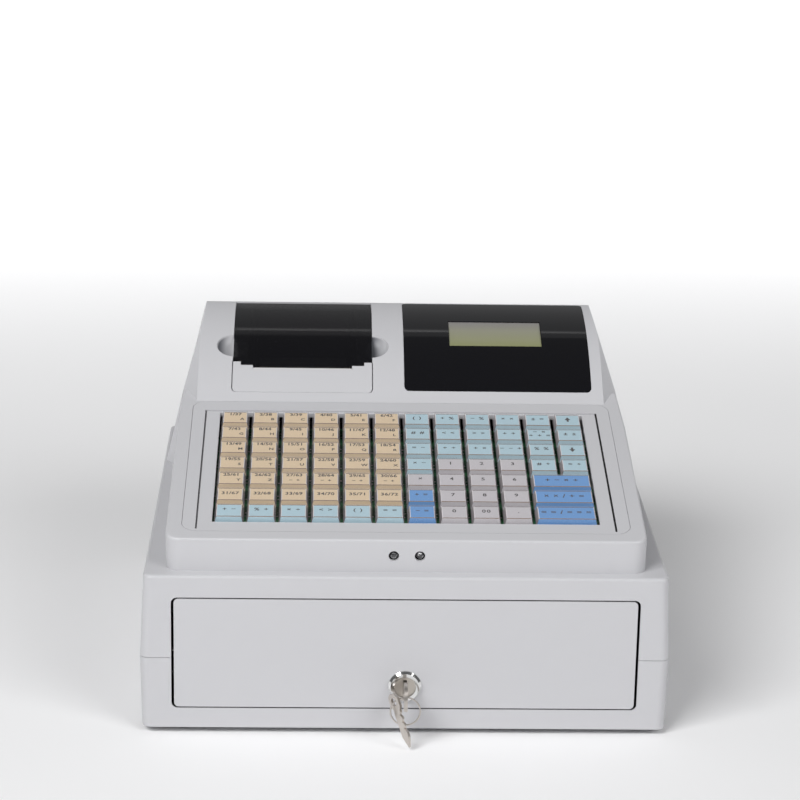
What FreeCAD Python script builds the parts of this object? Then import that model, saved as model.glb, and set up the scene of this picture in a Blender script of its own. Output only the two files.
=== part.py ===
import FreeCAD, Part
import math
import os

V = FreeCAD.Vector
os.makedirs("parts", exist_ok=True)

# Ticket register: a counter-top cash register with its own printer, display, keyboard and locked drawer.
# Millimetres. X to the right, Y to the back, Z up from the counter.
# The model is drawn with Y = 0 at the drawer face, then moved so that the origin is under its middle.

# Case
case_width = 312.0
case_depth = 290.0
foot_height = 4.0
base_height = 95.5
seam_height = 44.0
seam_gap = 0.3
wall = 2.5
upper_draft = 2.5
lower_draft = 1.0
case_corner = 5.5
edge_round = 1.5
edge_facet_share = 0.3
tongue_height = 2.0
tongue_thickness = 1.2
tongue_gap = 0.15
overrun = 5.0
sharpest_bend = 75.0
coincident = 0.0001

# Keyboard console on top of the base
console_setback = 8.2
console_rise = 19.9
console_width = 282.0
console_corner = 8.5
console_length = 168.6
console_taper_y = 146.0
console_back_width = 278.6
keyboard_tilt = 11.3

# Head behind the keyboard
head_slope = 38.0
head_foot_length = 13.3
roll_radius = 148.0
head_front_width = 260.0
head_top_width = 256.0
head_root_width = 305.0
head_root_back_width = 300.0
head_knee_rise = 56.5
head_knee_width = 278.4
head_knee_back_width = 273.2
flare_angle = 29.3
head_rear_step = 3.0
rear_roll_radius = 16.5

# Keys
key_pitch = 19.05
key_rows = 7
key_columns = 12
keys_front_margin = 20.8
key_rise = 2.2
key_skirt_drop = 3.4
key_base_width = 17.6
key_base_depth = 17.2
key_top_width = 15.5
key_top_depth = 14.5
key_top_shift = 0.65
key_roof = 1.3
key_hollow_width = 12.4
key_hollow_depth = 11.4
key_travel = 3.0
switch_gap = 0.3
switch_height = 11.6
board_thickness = 1.6
board_margin = 4.0

# Keyboard frame and key deck
frame_width = 264.4
frame_front = 8.6
frame_thickness = 2.0
frame_corner = 9.0
frame_gap = 0.25
frame_ledge = 3.0
ledge_thickness = 2.6
deck_width = 246.4
deck_front = 11.6
deck_back_margin = 12.2
deck_side_gap = 0.9
deck_end_gap = 0.3
deck_drop = 0.8
deck_rim = 4.0
deck_rim_thickness = 1.6
deck_hole_gap = 0.6
deck_post_width = 6.0

# Lamps in the console's front face
lamp_spacing = 15.3
lamp_radius = 2.6
lamp_hole_radius = 3.1
lamp_recess = 0.7
lamp_length = 6.0
lamp_rim_length = 2.0
lamp_board_width = 40.0
lamp_board_height = 9.0
lamp_boss_radius = 2.5

# Printer, seen from above
printer_offset = -63.15
cover_half_width = 44.75
cover_rear_y = 268.5
cover_corner_y = 200.2
cover_step_y = 197.7
cover_slot_y = 196.4
cover_step_half = 39.2
cover_slot_half = 32.0
cover_thickness = 2.2
cover_gap = 0.35
cover_ledge_thickness = 2.4
plate_front_y = 179.5
plate_slot_y = 194.2
plate_thickness = 2.2
plate_corner = 2.7
plate_gap = 0.3
scoop_y = 213.2
scoop_rim_radius = 11.0
scoop_depth = 7.0
scoop_wall = 1.5
bay_half_width = 35.0
bay_front_y = 205.0
bay_rear_margin = 0.2
hinge_y = 265.6
hinge_drop = 6.6
hinge_pin_radius = 1.5
hinge_lug_radius = 3.2
hinge_ear_wall = 1.2
hinge_trough_ahead = 1.5
hinge_trough_depth = 2.8
hinge_lug_width = 1.8
hinge_lug_gap = 0.4
cover_rear_gap = 4.6
cover_open_angle = 80.0
bucket_half_width = 29.4
bucket_wall = 1.8
bucket_radius = 26.5
bucket_centre_y = 235.0
bucket_centre_z = 149.5
bucket_top_gap = 0.7
bucket_front_y = 186.0
pin_clearance = 0.05
paper_radius = 20.0
paper_core_radius = 6.5
paper_half_width = 28.6
paper_gap = 0.3
platen_y = 203.5
platen_z = 160.0
platen_radius = 4.6
platen_half_width = 28.4
platen_shaft_radius = 2.0
platen_shaft_tail = 7.0
gear_module = 1.0
platen_teeth = 16
motor_teeth = 10
gear_width = 3.0
gear_gap = 0.6
tooth_addendum_share = 0.85
tooth_dedendum_share = 1.15
tooth_flank_shares = (-0.28, -0.1, 0.1, 0.28)
gear_play = 0.15
motor_angle = 80.0
motor_shaft_radius = 1.2
motor_radius = 6.5
motor_length = 16.0
head_bar_depth = 5.0
head_bar_height = 6.0
head_bar_gap = 0.4
tear_teeth = 30
tear_tooth_height = 1.0
tear_thickness = 1.0
tear_recess = 0.1
tear_height = 5.0
tear_side_gap = 0.5

# Display
window_left = 2.5
window_right = 122.6
window_front_y = 181.0
window_rear_y = 271.0
window_thickness = 2.0
window_corner = 3.0
window_gap = 0.2
window_ledge = 3.0
screen_left = 32.4
screen_right = 92.5
screen_front_y = 216.0
screen_rear_y = 242.0
screen_border = 6.0
screen_thickness = 5.0
screen_gap = 0.2
screen_rise = 2.3
screen_board_border = 5.0
customer_left = 12.0
customer_right = 112.0
customer_bottom = 142.0
customer_top = 170.0

# Drawer mouth and front
mouth_width = 274.8
mouth_lift = 12.2
mouth_height = 69.6
mouth_corner = 3.6
mouth_depth = 12.0
jamb = 2.5
front_side_gap = 1.6
front_rise_gap = 0.9
front_thickness = 3.0
front_flange_depth = 10.0
front_flange = 2.0
front_rib = 1.6
front_boss_radius = 4.0
front_boss_x = 100.0
front_boss_spread = 36.0
front_rib_places_share = (0.3, 0.62, 0.86)

# Drawer box, tray and clips
box_width = 254.0
box_setback = 27.0
box_depth = 235.0
box_lift = 3.8
box_height = 56.0
box_wall = 2.0
box_gusset = 10.0
drawer_travel = 200.0
tray_gap = 0.5
tray_height = 48.0
tray_wall = 2.0
tray_rim = 0.8
cup_depth = 60.0
cup_count = 5
bay_count = 3
scoop_radius = 22.0
clip_width = 14.0
clip_sheet = 1.6
clip_pivot_inset = 8.0
clip_pivot_drop = 6.0
clip_eye_radius = 3.2
clip_pin_radius = 1.5
clip_reach = 82.0
clip_tip_gap = 0.6
clip_tip_length = 12.0
clip_bar_width = 56.0
clip_lift_angle = 24.0
clip_ear_gap = 0.4
clip_ear_width = 3.0

# Rails and rollers
rail_gap = 3.2
rail_depth = 9.0
rail_sheet = 1.2
rail_lift = 13.0
rail_front = 14.0
rail_rear_margin = 15.0
rail_pad_length = 10.0
rail_pad_height = 0.3
rail_runner_gap = 0.1
runner_thickness = 1.8
runner_width = 7.0
roller_radius = 6.0
roller_play = 0.4
roller_seat = 0.05
roller_width = 5.6
roller_inset = 10.0
axle_radius = 1.5
rail_post_depth = 8.0
rail_post_count = 3

# Lock and keys
lock_height = 27.1
lock_bezel_radius = 9.8
lock_bezel_depth = 2.6
lock_bezel_chamfer = 1.3
lock_body_radius = 8.0
lock_body_length = 20.0
lock_hole_gap = 0.15
lock_nut_radius = 10.5
lock_nut_thickness = 3.0
plug_radius = 6.35
plug_play = 0.05
plug_recess = 0.9
plug_tail_length = 4.6
plug_tail_radius = 3.0
keyway_width = 2.3
keyway_height = 8.6
keyway_depth = 17.0
cam_gap = 1.5
cam_thickness = 2.0
cam_length = 22.0
cam_half_width = 4.5
cam_turn = 90.0
keeper_half_width = 12.0
keeper_thickness = 2.9
keeper_height = 9.0
keeper_gap = 0.6
key_reach = 25.5
bow_radius = 8.5
bow_hole_radius = 2.4
bow_hole_rise = 1.8
blade_thickness = 2.0
blade_height = 7.0
blade_length = 14.0
blade_tooth = 1.3
blade_teeth = 4
ring_radius = 8.75
ring_wire = 0.5
ring_wire_sides = 6
ring_contact_gap = 0.05
spare_bow_width = 9.5
spare_bow_length = 9.5
spare_hole_radius = 2.5
spare_blade_width = 6.4
spare_length = 33.0
spare_thickness = 1.5
spare_angle = 134.0
spare_swing = 18.0
spare_twist = 53.0
spare_lean = 8.5
spare_notch_places_share = (0.2, 0.45, 0.7)
spare_notch_run_share = 0.2

# Latch and kick spring
shelf_drop = 11.5
shelf_sheet = 1.2
shelf_half_width = 139.0
shelf_lip = 8.0
shelf_rear_margin = 9.0
latch_x = 40.0
latch_pivot_y = 281.0
latch_pivot_drop = 14.0
latch_arm = 13.2
latch_eye_radius = 3.4
latch_plate = 4.0
latch_nose = 3.6
latch_nose_drop = 5.2
latch_turn = 16.0
latch_ear_gap = 0.4
latch_ear = 1.6
latch_base = 1.6
solenoid_length = 16.0
solenoid_width = 18.0
solenoid_height = 16.0
strike_width = 14.0
strike_length = 12.5
strike_lip = 2.1
strike_sheet = 2.0
strike_drop = 16.0
strike_rise = 6.0
spring_width = 14.0
spring_x = -43.0
spring_sheet = 0.8
spring_foot = 16.0
spring_contact_height = 45.0
spring_tail = 8.0
spring_gap = 0.3

# Boards, supply, inlet, feet and screws
board_x = 28.0
board_width = 170.0
board_front_y = 118.0
board_depth = 150.0
standoff_height = 6.0
standoff_width = 6.0
chip_height = 1.2
socket_height = 4.0
chip_places_share = ((0.2, 0.2), (0.5, 0.5))
chip_size_share = (0.16, 0.18)
socket_places_share = ((0.3, 0.75), (0.7, 0.8))
socket_size_share = (0.2, 0.08)
buzzer_place_share = (0.78, 0.25)
buzzer_radius = 8.0
buzzer_height = 7.0
supply_x = -100.0
supply_width = 60.0
supply_front_y = 205.0
supply_depth = 62.0
supply_height = 24.0
supply_slot_count = 5
supply_slot_width_share = 0.6
inlet_x = -104.0
inlet_z = 112.0
inlet_width = 27.0
inlet_height = 19.0
inlet_flange = 2.5
inlet_flange_thickness = 1.5
inlet_depth = 16.0
inlet_wall = 1.6
inlet_pin = 1.6
inlet_pin_spacing = 7.0
foot_radius = 8.0
foot_inset = 18.0
foot_boss = 1.5
foot_pocket_gap = 0.1
boss_width = 8.0
boss_inset = 9.0
screw_radius = 1.6
screw_head_radius = 3.0
screw_head_height = 2.0
screw_length = 30.0
screw_places_share = (0.14, 0.87)
shelf_tab_places_share = (0.24, 0.6, 0.79)
vent_count = 9
vent_width = 2.4
vent_length = 40.0
vent_pitch = 7.0
vent_y = 190.0

# Heights and places that follow from the sizes above
z_floor = foot_height
z_seam = foot_height + seam_height
z_shoulder = foot_height + base_height
z_console = z_shoulder + console_rise
z_low = z_shoulder - 2 * wall
tilt = math.radians(keyboard_tilt)
slope = math.radians(head_slope)
crease_y = console_setback + console_length * math.cos(tilt)
crease_z = z_console + console_length * math.sin(tilt)
roll_y = crease_y + head_foot_length * math.cos(slope) + roll_radius * math.sin(slope)
roll_z = crease_z + head_foot_length * math.sin(slope) - roll_radius * math.cos(slope)
head_top = roll_z + roll_radius
head_rear = case_depth - head_rear_step
rear_roll_y = head_rear - rear_roll_radius
roll_end = math.asin((roll_y - rear_roll_y) / (roll_radius - rear_roll_radius))
rear_roll_z = roll_z + (roll_radius - rear_roll_radius) * math.cos(roll_end)
mouth_bottom = z_floor + mouth_lift
mouth_top = mouth_bottom + mouth_height
box_bottom = mouth_bottom + box_lift
box_rear = box_setback + box_depth
shelf_z = z_shoulder - shelf_drop
rail_bottom = box_bottom + rail_lift
rail_top = rail_bottom + 2 * rail_sheet + 2 * roller_radius + roller_play
runner_bottom = rail_top + rail_pad_height + rail_runner_gap
roller_y = box_rear - roller_inset
roller_z = rail_bottom + rail_sheet + roller_seat + roller_radius
lock_z = z_floor + lock_height
bow_y = bow_radius - key_reach
switch_top = key_rise - key_roof - key_travel - switch_gap
board_top = switch_top - switch_height
origin_shift = (key_reach - case_depth) / 2


def prism(axis, points, start, end, radii=0):
    """A prism along an axis from a 2D outline, with rounded corners where radii are given."""
    place = {"x": lambda p: V(start, p[0], p[1]),
             "y": lambda p: V(p[0], start, p[1]),
             "z": lambda p: V(p[0], p[1], start)}[axis]
    direction = {"x": V(end - start, 0, 0), "y": V(0, end - start, 0), "z": V(0, 0, end - start)}[axis]
    corners = [V(p[0], p[1], 0) for p in points]
    sizes = [radii] * len(points) if isinstance(radii, (int, float)) else list(radii)
    return Part.Face(rounded_wire(corners, sizes, place)).extrude(direction)


def rounded_wire(corners, sizes, place):
    """A closed wire through corners, each one cut by a tangent arc of its own radius."""
    spans = []
    for i, corner in enumerate(corners):
        before = (corners[i - 1] - corner).normalize()
        after = (corners[(i + 1) % len(corners)] - corner).normalize()
        if sizes[i] <= 0:
            spans.append((corner, None, corner))
            continue
        half = before.getAngle(after) / 2
        reach = sizes[i] / math.tan(half)
        inward = (before + after).normalize()
        middle = corner + inward * (sizes[i] / math.sin(half) - sizes[i])
        spans.append((corner + before * reach, middle, corner + after * reach))
    edges = []
    for i, (start, middle, end) in enumerate(spans):
        if middle is not None:
            edges.append(Part.Arc(place(start), place(middle), place(end)).toShape())
        following = spans[(i + 1) % len(spans)][0]
        if (following - end).Length > coincident:
            edges.append(Part.LineSegment(place(end), place(following)).toShape())
    return Part.Wire(edges)


def block(x0, x1, y0, y1, z0, z1):
    return Part.makeBox(x1 - x0, y1 - y0, z1 - z0, V(x0, y0, z0))


def rectangle(x0, x1, y0, y1):
    return [(x0, y0), (x1, y0), (x1, y1), (x0, y1)]


def rod(radius, start, end):
    return Part.makeCylinder(radius, (end - start).Length, start, end - start)


def rod_x(radius, x0, x1, y, z):
    return rod(radius, V(x0, y, z), V(x1, y, z))


def rod_y(radius, x, z, y0, y1):
    return rod(radius, V(x, y0, z), V(x, y1, z))


def rod_z(radius, x, y, z0, z1):
    return rod(radius, V(x, y, z0), V(x, y, z1))


def mirrored(shape):
    return shape.mirror(V(0, 0, 0), V(1, 0, 0))


def joined(*shapes):
    parts = list(shapes)
    return parts[0].fuse(parts[1:]).removeSplitter() if len(parts) > 1 else parts[0]


def without(shape, *tools):
    return shape.cut(list(tools)) if tools else shape


def moved(shape, x, y, z):
    copy = shape.copy()
    copy.translate(V(x, y, z))
    return copy


def on_console(shape):
    """From the console's own axes (across, up the slope, off its surface) to the model's."""
    copy = shape.copy()
    copy.rotate(V(0, 0, 0), V(1, 0, 0), keyboard_tilt)
    copy.translate(V(0, console_setback, z_console))
    return copy


def ribbon(points, thickness):
    """The closed outline of a bent strip along a line of 2D points."""
    line = [V(p[0], p[1], 0) for p in points]
    left = []
    right = []
    for i, point in enumerate(line):
        before = (point - line[i - 1]).normalize() if i else (line[1] - point).normalize()
        after = (line[i + 1] - point).normalize() if i < len(line) - 1 else before
        middle = (before + after).normalize()
        reach = thickness / 2 / max(middle.dot(before), math.cos(math.radians(sharpest_bend)))
        side = V(-middle.y, middle.x, 0) * reach
        left.append(point + side)
        right.append(point - side)
    return [(p.x, p.y) for p in left + right[::-1]]


def save(name, *solids):
    """Writes one sub-part, moved so that the origin is under the middle of the whole model."""
    shape = Part.makeCompound(list(solids)) if len(solids) > 1 else solids[0]
    moved(shape, 0, origin_shift, 0).exportStep("parts/" + name + ".step")


def base_outline(inset, z):
    """Plan of the base at a height: drafted sides, upright front and back, round corners."""
    if z >= z_seam:
        draft = upper_draft * (z - z_seam) / (z_shoulder - z_seam)
    else:
        draft = lower_draft * (z_seam - z) / (z_seam - z_floor)
    half = case_width / 2 - draft - inset
    corners = [V(x, y, 0) for x, y in rectangle(-half, half, inset, case_depth - inset)]
    return rounded_wire(corners, [case_corner - inset] * 4, lambda p: V(p.x, p.y, z))


def base_form(inset, low, high):
    """The base between two heights."""
    return Part.makeLoft([base_outline(inset, low), base_outline(inset, high)], True, True)


def shouldered_base():
    """The upper part of the base, its top edge turned over in two narrow facets."""
    facet = edge_round * edge_facet_share
    return Part.makeLoft([base_outline(0, z_seam + seam_gap / 2), base_outline(0, z_shoulder - edge_round),
                          base_outline(facet, z_shoulder - facet), base_outline(edge_round, z_shoulder)], True, True)


def roof_face(inset, x):
    """Side profile of the head: a straight foot, a long roll over the top, and a small roll down the back."""
    across = V(0, math.sin(tilt), -math.cos(tilt))
    down = V(0, math.sin(slope), -math.cos(slope))
    foot = V(x, crease_y, crease_z) + (across + down) * (inset / (1 + across.dot(down)))
    radius = roll_radius - inset
    rear_radius = rear_roll_radius - inset

    def on_roll(angle):
        return V(x, roll_y - radius * math.sin(angle), roll_z + radius * math.cos(angle))

    def on_rear(angle):
        return V(x, rear_roll_y + rear_radius * math.sin(angle), rear_roll_z + rear_radius * math.cos(angle))

    quarter = math.pi / 2
    corner = V(x, head_rear - inset, z_low)
    start = V(x, foot.y, z_low)
    edges = [Part.LineSegment(start, foot).toShape(),
             Part.LineSegment(foot, on_roll(slope)).toShape(),
             Part.Arc(on_roll(slope), on_roll((slope + roll_end) / 2), on_roll(roll_end)).toShape(),
             Part.Arc(on_roll(roll_end), on_rear((quarter - roll_end) / 2), on_rear(quarter)).toShape(),
             Part.LineSegment(on_rear(quarter), corner).toShape(),
             Part.LineSegment(corner, start).toShape()]
    return Part.Face(Part.Wire(edges))


def roof_height(y, inset=0):
    """Height of the head's surface, moved inwards by an inset, at a place from front to back."""
    radius = roll_radius - inset
    rear_radius = rear_roll_radius - inset
    if y > rear_roll_y - rear_radius * math.sin(roll_end):
        return rear_roll_z + math.sqrt(rear_radius ** 2 - (y - rear_roll_y) ** 2)
    if y > roll_y - radius * math.sin(slope):
        return roll_z + math.sqrt(radius ** 2 - (roll_y - y) ** 2)
    foot = crease_z - inset / math.cos(slope)
    return foot + (y - crease_y) * math.tan(slope)


def roof_sheet(outline, outer, inner, radii=0):
    """A sheet that follows the head's surface between two depths, inside an outline seen from above."""
    span = case_width
    sheet = roof_face(outer, -span).extrude(V(2 * span, 0, 0)).cut(roof_face(inner, -span).extrude(V(2 * span, 0, 0)))
    return sheet.common(prism("z", outline, z_shoulder, head_top + overrun, radii))


def head_form(inset):
    """The head: its profile across the front, flared shoulders behind the front corners, leaning sides."""
    half = head_front_width / 2 - inset
    run = (head_root_width - head_front_width) / 2
    middle = roof_face(inset, -half).extrude(V(2 * half, 0, 0))
    flare = roof_face(inset, half).extrude(V(run, run / math.tan(math.radians(flare_angle)), 0))
    return joined(middle, flare, mirrored(flare)).common(side_walls(inset))


def side_walls(inset):
    """Leaning sides of the head with a slight knee, drawn in a little from front to back."""
    front = crease_y + run_back(console_width / 2)
    wires = []
    for y, root, knee in ((front, head_root_width, head_knee_width),
                          (head_rear - inset, head_root_back_width, head_knee_back_width)):
        half = [(root / 2 - inset, z_low), (root / 2 - inset, z_shoulder),
                (knee / 2 - inset, z_shoulder + head_knee_rise), (head_top_width / 2 - inset, head_top + inset)]
        points = [V(x, y, z) for x, z in half] + [V(-x, y, z) for x, z in half[::-1]]
        wires.append(Part.makePolygon(points + points[:1]))
    ahead = [V(p.Point.x, console_setback, p.Point.z) for p in wires[0].OrderedVertexes]
    return joined(Part.makeLoft(wires, True, True),
                  Part.makeLoft([Part.makePolygon(ahead + ahead[:1]), wires[0]], True, True))


def run_back(half):
    """How far behind the crease the flared shoulder lies at a distance from the middle."""
    return (half - head_front_width / 2) / math.tan(math.radians(flare_angle))


def console_form(inset):
    """The raised keyboard console, cut by the sloping keyboard surface."""
    half = console_width / 2 - inset
    back_half = console_back_width / 2 - inset
    back = crease_y + run_back(console_back_width / 2)
    front = console_setback + inset
    radius = console_corner - inset
    outline = [(-half, front), (half, front), (half, console_taper_y), (back_half, back), (-back_half, back),
               (-half, console_taper_y)]
    plan = prism("z", outline, z_low, head_top, [radius, radius, 0, 0, 0, 0])
    drop = inset / math.cos(tilt)
    rise = math.tan(tilt)
    surface = [(0, z_low - overrun), (case_depth, z_low - overrun),
               (case_depth, z_console + (case_depth - console_setback) * rise - drop),
               (0, z_console - console_setback * rise - drop)]
    return plan.common(prism("x", surface, -case_width, case_width))


def round_top_edges(solid, height, radius, slack):
    """Rounds the outer edges of a top face that lies at, or rises from, a given height."""
    edges = [e for e in solid.Edges if e.BoundBox.ZMin > height - slack]
    return solid.makeFillet(radius, edges)


def printer_outline(front, half, rear, gap, slot_front):
    """Plan of the printer cover: stepped front corners beside the paper slot."""
    x = printer_offset
    return [(x - half, front), (x - cover_step_half - gap, front), (x - cover_step_half - gap, cover_step_y - gap),
            (x - cover_slot_half, cover_step_y - gap), (x - cover_slot_half, slot_front),
            (x + cover_slot_half, slot_front), (x + cover_slot_half, cover_step_y - gap),
            (x + cover_step_half + gap, cover_step_y - gap), (x + cover_step_half + gap, front),
            (x + half, front), (x + half, rear), (x - half, rear)]


def scoop_ball(side):
    """The ball that hollows a finger scoop at one side edge of the printer cover."""
    radius = (scoop_rim_radius ** 2 + scoop_depth ** 2) / (2 * scoop_depth)
    angle = math.asin((roll_y - scoop_y) / roll_radius)
    lift = roll_radius + radius - scoop_depth
    ball = Part.makeSphere(radius)
    ball.rotate(V(0, 0, 0), V(0, 1, 0), -90)
    return moved(ball, printer_offset + side * cover_half_width, roll_y - lift * math.sin(angle),
                 roll_z + lift * math.cos(angle))


def post(width, x, y, z0, z1):
    """A square upright post."""
    half = width / 2
    return block(x - half, x + half, y - half, y + half, z0, z1)


def screw_places(shares):
    x = case_width / 2 - boss_inset
    return [(side * x, case_depth * share) for side in (-1, 1) for share in shares]


def mouth_prism(grow, y0, y1):
    """The drawer mouth's outline, grown or shrunk, from front to back."""
    half = mouth_width / 2 + grow
    points = rectangle(-half, half, mouth_bottom - grow, mouth_top + grow)
    return prism("y", points, y0, y1, mouth_corner + grow)


def lower_case():
    outer = base_form(0, z_floor, z_seam - seam_gap / 2)
    hollow = base_form(wall, z_floor, z_seam + overrun).common(
        block(-case_width, case_width, 0, case_depth, z_floor + wall, z_seam + overrun))
    tub = outer.cut(hollow)
    root = base_form(wall / 2, z_seam - wall, z_seam - seam_gap / 2)
    tongue = joined(root, base_form(wall + tongue_gap, z_seam - wall, z_seam + tongue_height)).cut(
        base_form(wall + tongue_thickness, z_seam - 2 * wall, z_seam + 2 * tongue_height))
    lining = mouth_prism(jamb, 0, mouth_depth).common(
        block(-case_width, case_width, 0, mouth_depth, z_floor, z_seam - seam_gap / 2))
    keeper_y = lock_body_length + cam_gap - keeper_gap - keeper_thickness
    keeper = block(-keeper_half_width, keeper_half_width, keeper_y, keeper_y + keeper_thickness,
                   z_floor, z_floor + wall + keeper_height)
    posts = []
    web = box_width / 2 + rail_gap + rail_depth
    for i in range(rail_post_count):
        y = rail_front + (i + 0.5) / rail_post_count * (case_depth - rail_rear_margin - rail_front)
        rib = block(web, case_width / 2 - 2 * wall + jamb, y, y + rail_post_depth, z_floor, z_seam - seam_gap)
        posts += [rib, mirrored(rib)]
    bosses = [post(boss_width, x, y, z_floor, z_seam - seam_gap / 2) for x, y in screw_places(screw_places_share)]
    body = joined(tub, tongue, lining, keeper, *(posts + bosses)).common(
        joined(base_form(0, z_floor, z_seam - seam_gap / 2), base_form(wall, z_seam - seam_gap, z_seam + overrun)))
    cuts = [mouth_prism(0, -overrun, mouth_depth + overrun)]
    beside = mouth_width / 2 + jamb + seam_gap
    cuts.append(block(-beside, beside, 0, mouth_depth, z_seam - seam_gap / 2, z_seam + overrun))
    for x, y in screw_places(screw_places_share):
        cuts.append(rod_z(screw_radius + pin_clearance, x, y, z_floor - overrun, z_seam))
        cuts.append(rod_z(screw_head_radius + seam_gap, x, y, z_floor - overrun, z_floor + screw_head_height))
    for x, y in foot_places():
        cuts.append(rod_z(foot_radius + foot_pocket_gap, x, y, z_floor - overrun, z_floor + foot_boss))
    first = -(vent_count - 1) / 2 * vent_pitch
    for i in range(vent_count):
        x = first + i * vent_pitch
        cuts.append(block(x - vent_width / 2, x + vent_width / 2, vent_y, vent_y + vent_length,
                          z_floor - overrun, z_floor + wall + overrun))
    return without(body, *cuts)


def upper_case():
    console = round_top_edges(console_form(0), z_console, edge_round, edge_round)
    outer = joined(shouldered_base(), console, head_form(0))
    hollow = joined(base_form(wall, z_seam, z_shoulder - wall), console_form(wall), head_form(wall))
    shell = outer.cut(hollow)

    ring_half = frame_width / 2 + frame_ledge
    ring = on_console(block(-ring_half, ring_half, frame_front - frame_ledge, console_length,
                            -frame_thickness - ledge_thickness, -wall / 2)).common(console_form(wall / 2))
    lining = mouth_prism(jamb, 0, mouth_depth).common(
        block(-case_width, case_width, 0, mouth_depth, z_seam + seam_gap / 2, mouth_top + jamb))
    cover_outer = cover_half_width + cover_gap + wall
    tray = roof_sheet(rectangle(printer_offset - cover_outer, printer_offset + cover_outer,
                                plate_front_y - wall, cover_rear_y + cover_rear_gap + wall),
                      wall / 2, cover_thickness + cover_gap + cover_ledge_thickness)
    display_tray = roof_sheet(rectangle(window_left - wall, window_right + wall,
                                        window_front_y - wall, window_rear_y + wall),
                              wall / 2, window_thickness + window_gap + wall)
    hy, hz = hinge_centre()
    trough = block(printer_offset - cover_outer, printer_offset + cover_outer, hy - hinge_trough_ahead - wall,
                   cover_rear_y + cover_rear_gap + wall, hz - hinge_trough_depth - wall,
                   head_top).common(head_form(wall / 2))
    bowls = []
    reach = scoop_rim_radius + scoop_wall
    for side in (-1, 1):
        x = printer_offset + side * cover_half_width
        bowls.append(roof_sheet(rectangle(x - reach, x + reach, scoop_y - reach, scoop_y + reach),
                                2 * wall / 3, scoop_depth + scoop_wall))
    slope_z = z_shoulder - wall / 2
    bosses = [post(boss_width, x, y, z_seam + seam_gap / 2, slope_z) for x, y in screw_places(screw_places_share)]
    hangers = [post(boss_width, x, y, shelf_z + shelf_sheet, slope_z) for x, y in screw_places(shelf_tab_places_share)]
    lamp_z = z_shoulder + console_rise / 2
    lamp_bosses = []
    for side in (-1, 1):
        x = side * (lamp_board_width / 2 - lamp_boss_radius)
        lamp_bosses.append(rod_y(lamp_boss_radius, x, lamp_z, console_setback + wall / 2,
                                 console_setback + lamp_recess + lamp_length))
    customer_tray = block(customer_left - wall, customer_right + wall, head_rear - window_thickness - 2 * wall,
                          head_rear - wall / 2, customer_bottom - wall, customer_top + wall)
    body = joined(shell, ring, lining, tray, trough, display_tray,
                  *(bowls + bosses + hangers + lamp_bosses + [customer_tray]))

    cuts = [mouth_prism(0, -overrun, mouth_depth + overrun)]
    half = frame_width / 2
    top_opening = prism("z", rectangle(-half, half, frame_front, console_length - frame_gap),
                        -frame_thickness, overrun / 2, frame_corner)
    ledge_opening = prism("z", rectangle(frame_ledge - half, half - frame_ledge, frame_front + frame_ledge,
                                         console_length - frame_gap - frame_ledge),
                          -4 * overrun, -frame_thickness + overrun / 4, frame_corner - frame_ledge)
    cuts += [on_console(top_opening), on_console(ledge_opening)]
    cover_half = cover_half_width + cover_gap
    cuts.append(roof_sheet(printer_outline(cover_corner_y - cover_gap, cover_half, cover_rear_y + cover_rear_gap,
                                           cover_gap, cover_slot_y), -overrun, cover_thickness + cover_gap))
    cuts.append(block(printer_offset - cover_half, printer_offset + cover_half, hy - hinge_trough_ahead,
                      cover_rear_y + cover_rear_gap, hz - hinge_trough_depth, head_top + overrun))
    plate_half = cover_half + plate_gap
    cuts.append(roof_sheet(rectangle(printer_offset - plate_half, printer_offset + plate_half,
                                     plate_front_y - plate_gap, cover_corner_y),
                           -overrun, plate_thickness, [plate_corner, plate_corner, 0, 0]))
    cuts.append(prism("z", rectangle(printer_offset - bay_half_width, printer_offset + bay_half_width,
                                     bucket_front_y - bay_rear_margin, cover_rear_y + cover_rear_gap),
                      z_shoulder, head_top + overrun))
    cuts += [scoop_ball(side).common(roof_sheet(rectangle(-case_width, case_width, cover_step_y, cover_rear_y),
                                                -overrun, scoop_depth + scoop_wall)) for side in (-1, 1)]
    cuts.append(roof_sheet(rectangle(window_left - window_gap, window_right + window_gap, window_front_y - window_gap,
                                     window_rear_y + window_gap), -overrun, window_thickness,
                           window_corner + window_gap))
    cuts.append(prism("z", rectangle(screen_left - 2 * screen_border, screen_right + 2 * screen_border,
                                     screen_front_y - 2 * screen_border, screen_rear_y + 2 * screen_border),
                      z_shoulder, head_top))
    cuts.append(prism("y", rectangle(customer_left - window_gap, customer_right + window_gap,
                                     customer_bottom - window_gap, customer_top + window_gap),
                      head_rear - window_thickness, head_rear + overrun, window_corner))
    cuts.append(prism("y", rectangle(customer_left + window_ledge, customer_right - window_ledge,
                                     customer_bottom + window_ledge, customer_top - window_ledge),
                      head_rear - 2 * overrun, head_rear))
    cuts.append(block(inlet_x - inlet_width / 2, inlet_x + inlet_width / 2, head_rear - 2 * wall, head_rear + overrun,
                      inlet_z - inlet_height / 2, inlet_z + inlet_height / 2))
    for x, y in screw_places(screw_places_share):
        cuts.append(rod_z(screw_radius, x, y, z_seam - overrun, z_floor + screw_head_height + screw_length))
    for side in (-1, 1):
        cuts.append(rod_y(lamp_hole_radius, side * lamp_spacing / 2, lamp_z, 0, console_setback + 2 * wall))
    return without(body, *cuts)


def keyboard_frame():
    """The flat ring set into the console round the key deck."""
    half = frame_width / 2 - frame_gap
    ring = prism("z", rectangle(-half, half, frame_front + frame_gap, console_length - 2 * frame_gap),
                 -frame_thickness, 0, frame_corner - frame_gap)
    inner = deck_width / 2 + deck_side_gap
    back = console_length - deck_back_margin + deck_end_gap
    hole = block(-inner, inner, deck_front - deck_end_gap, back, -overrun, overrun)
    return on_console(ring.cut(hole))


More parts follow.
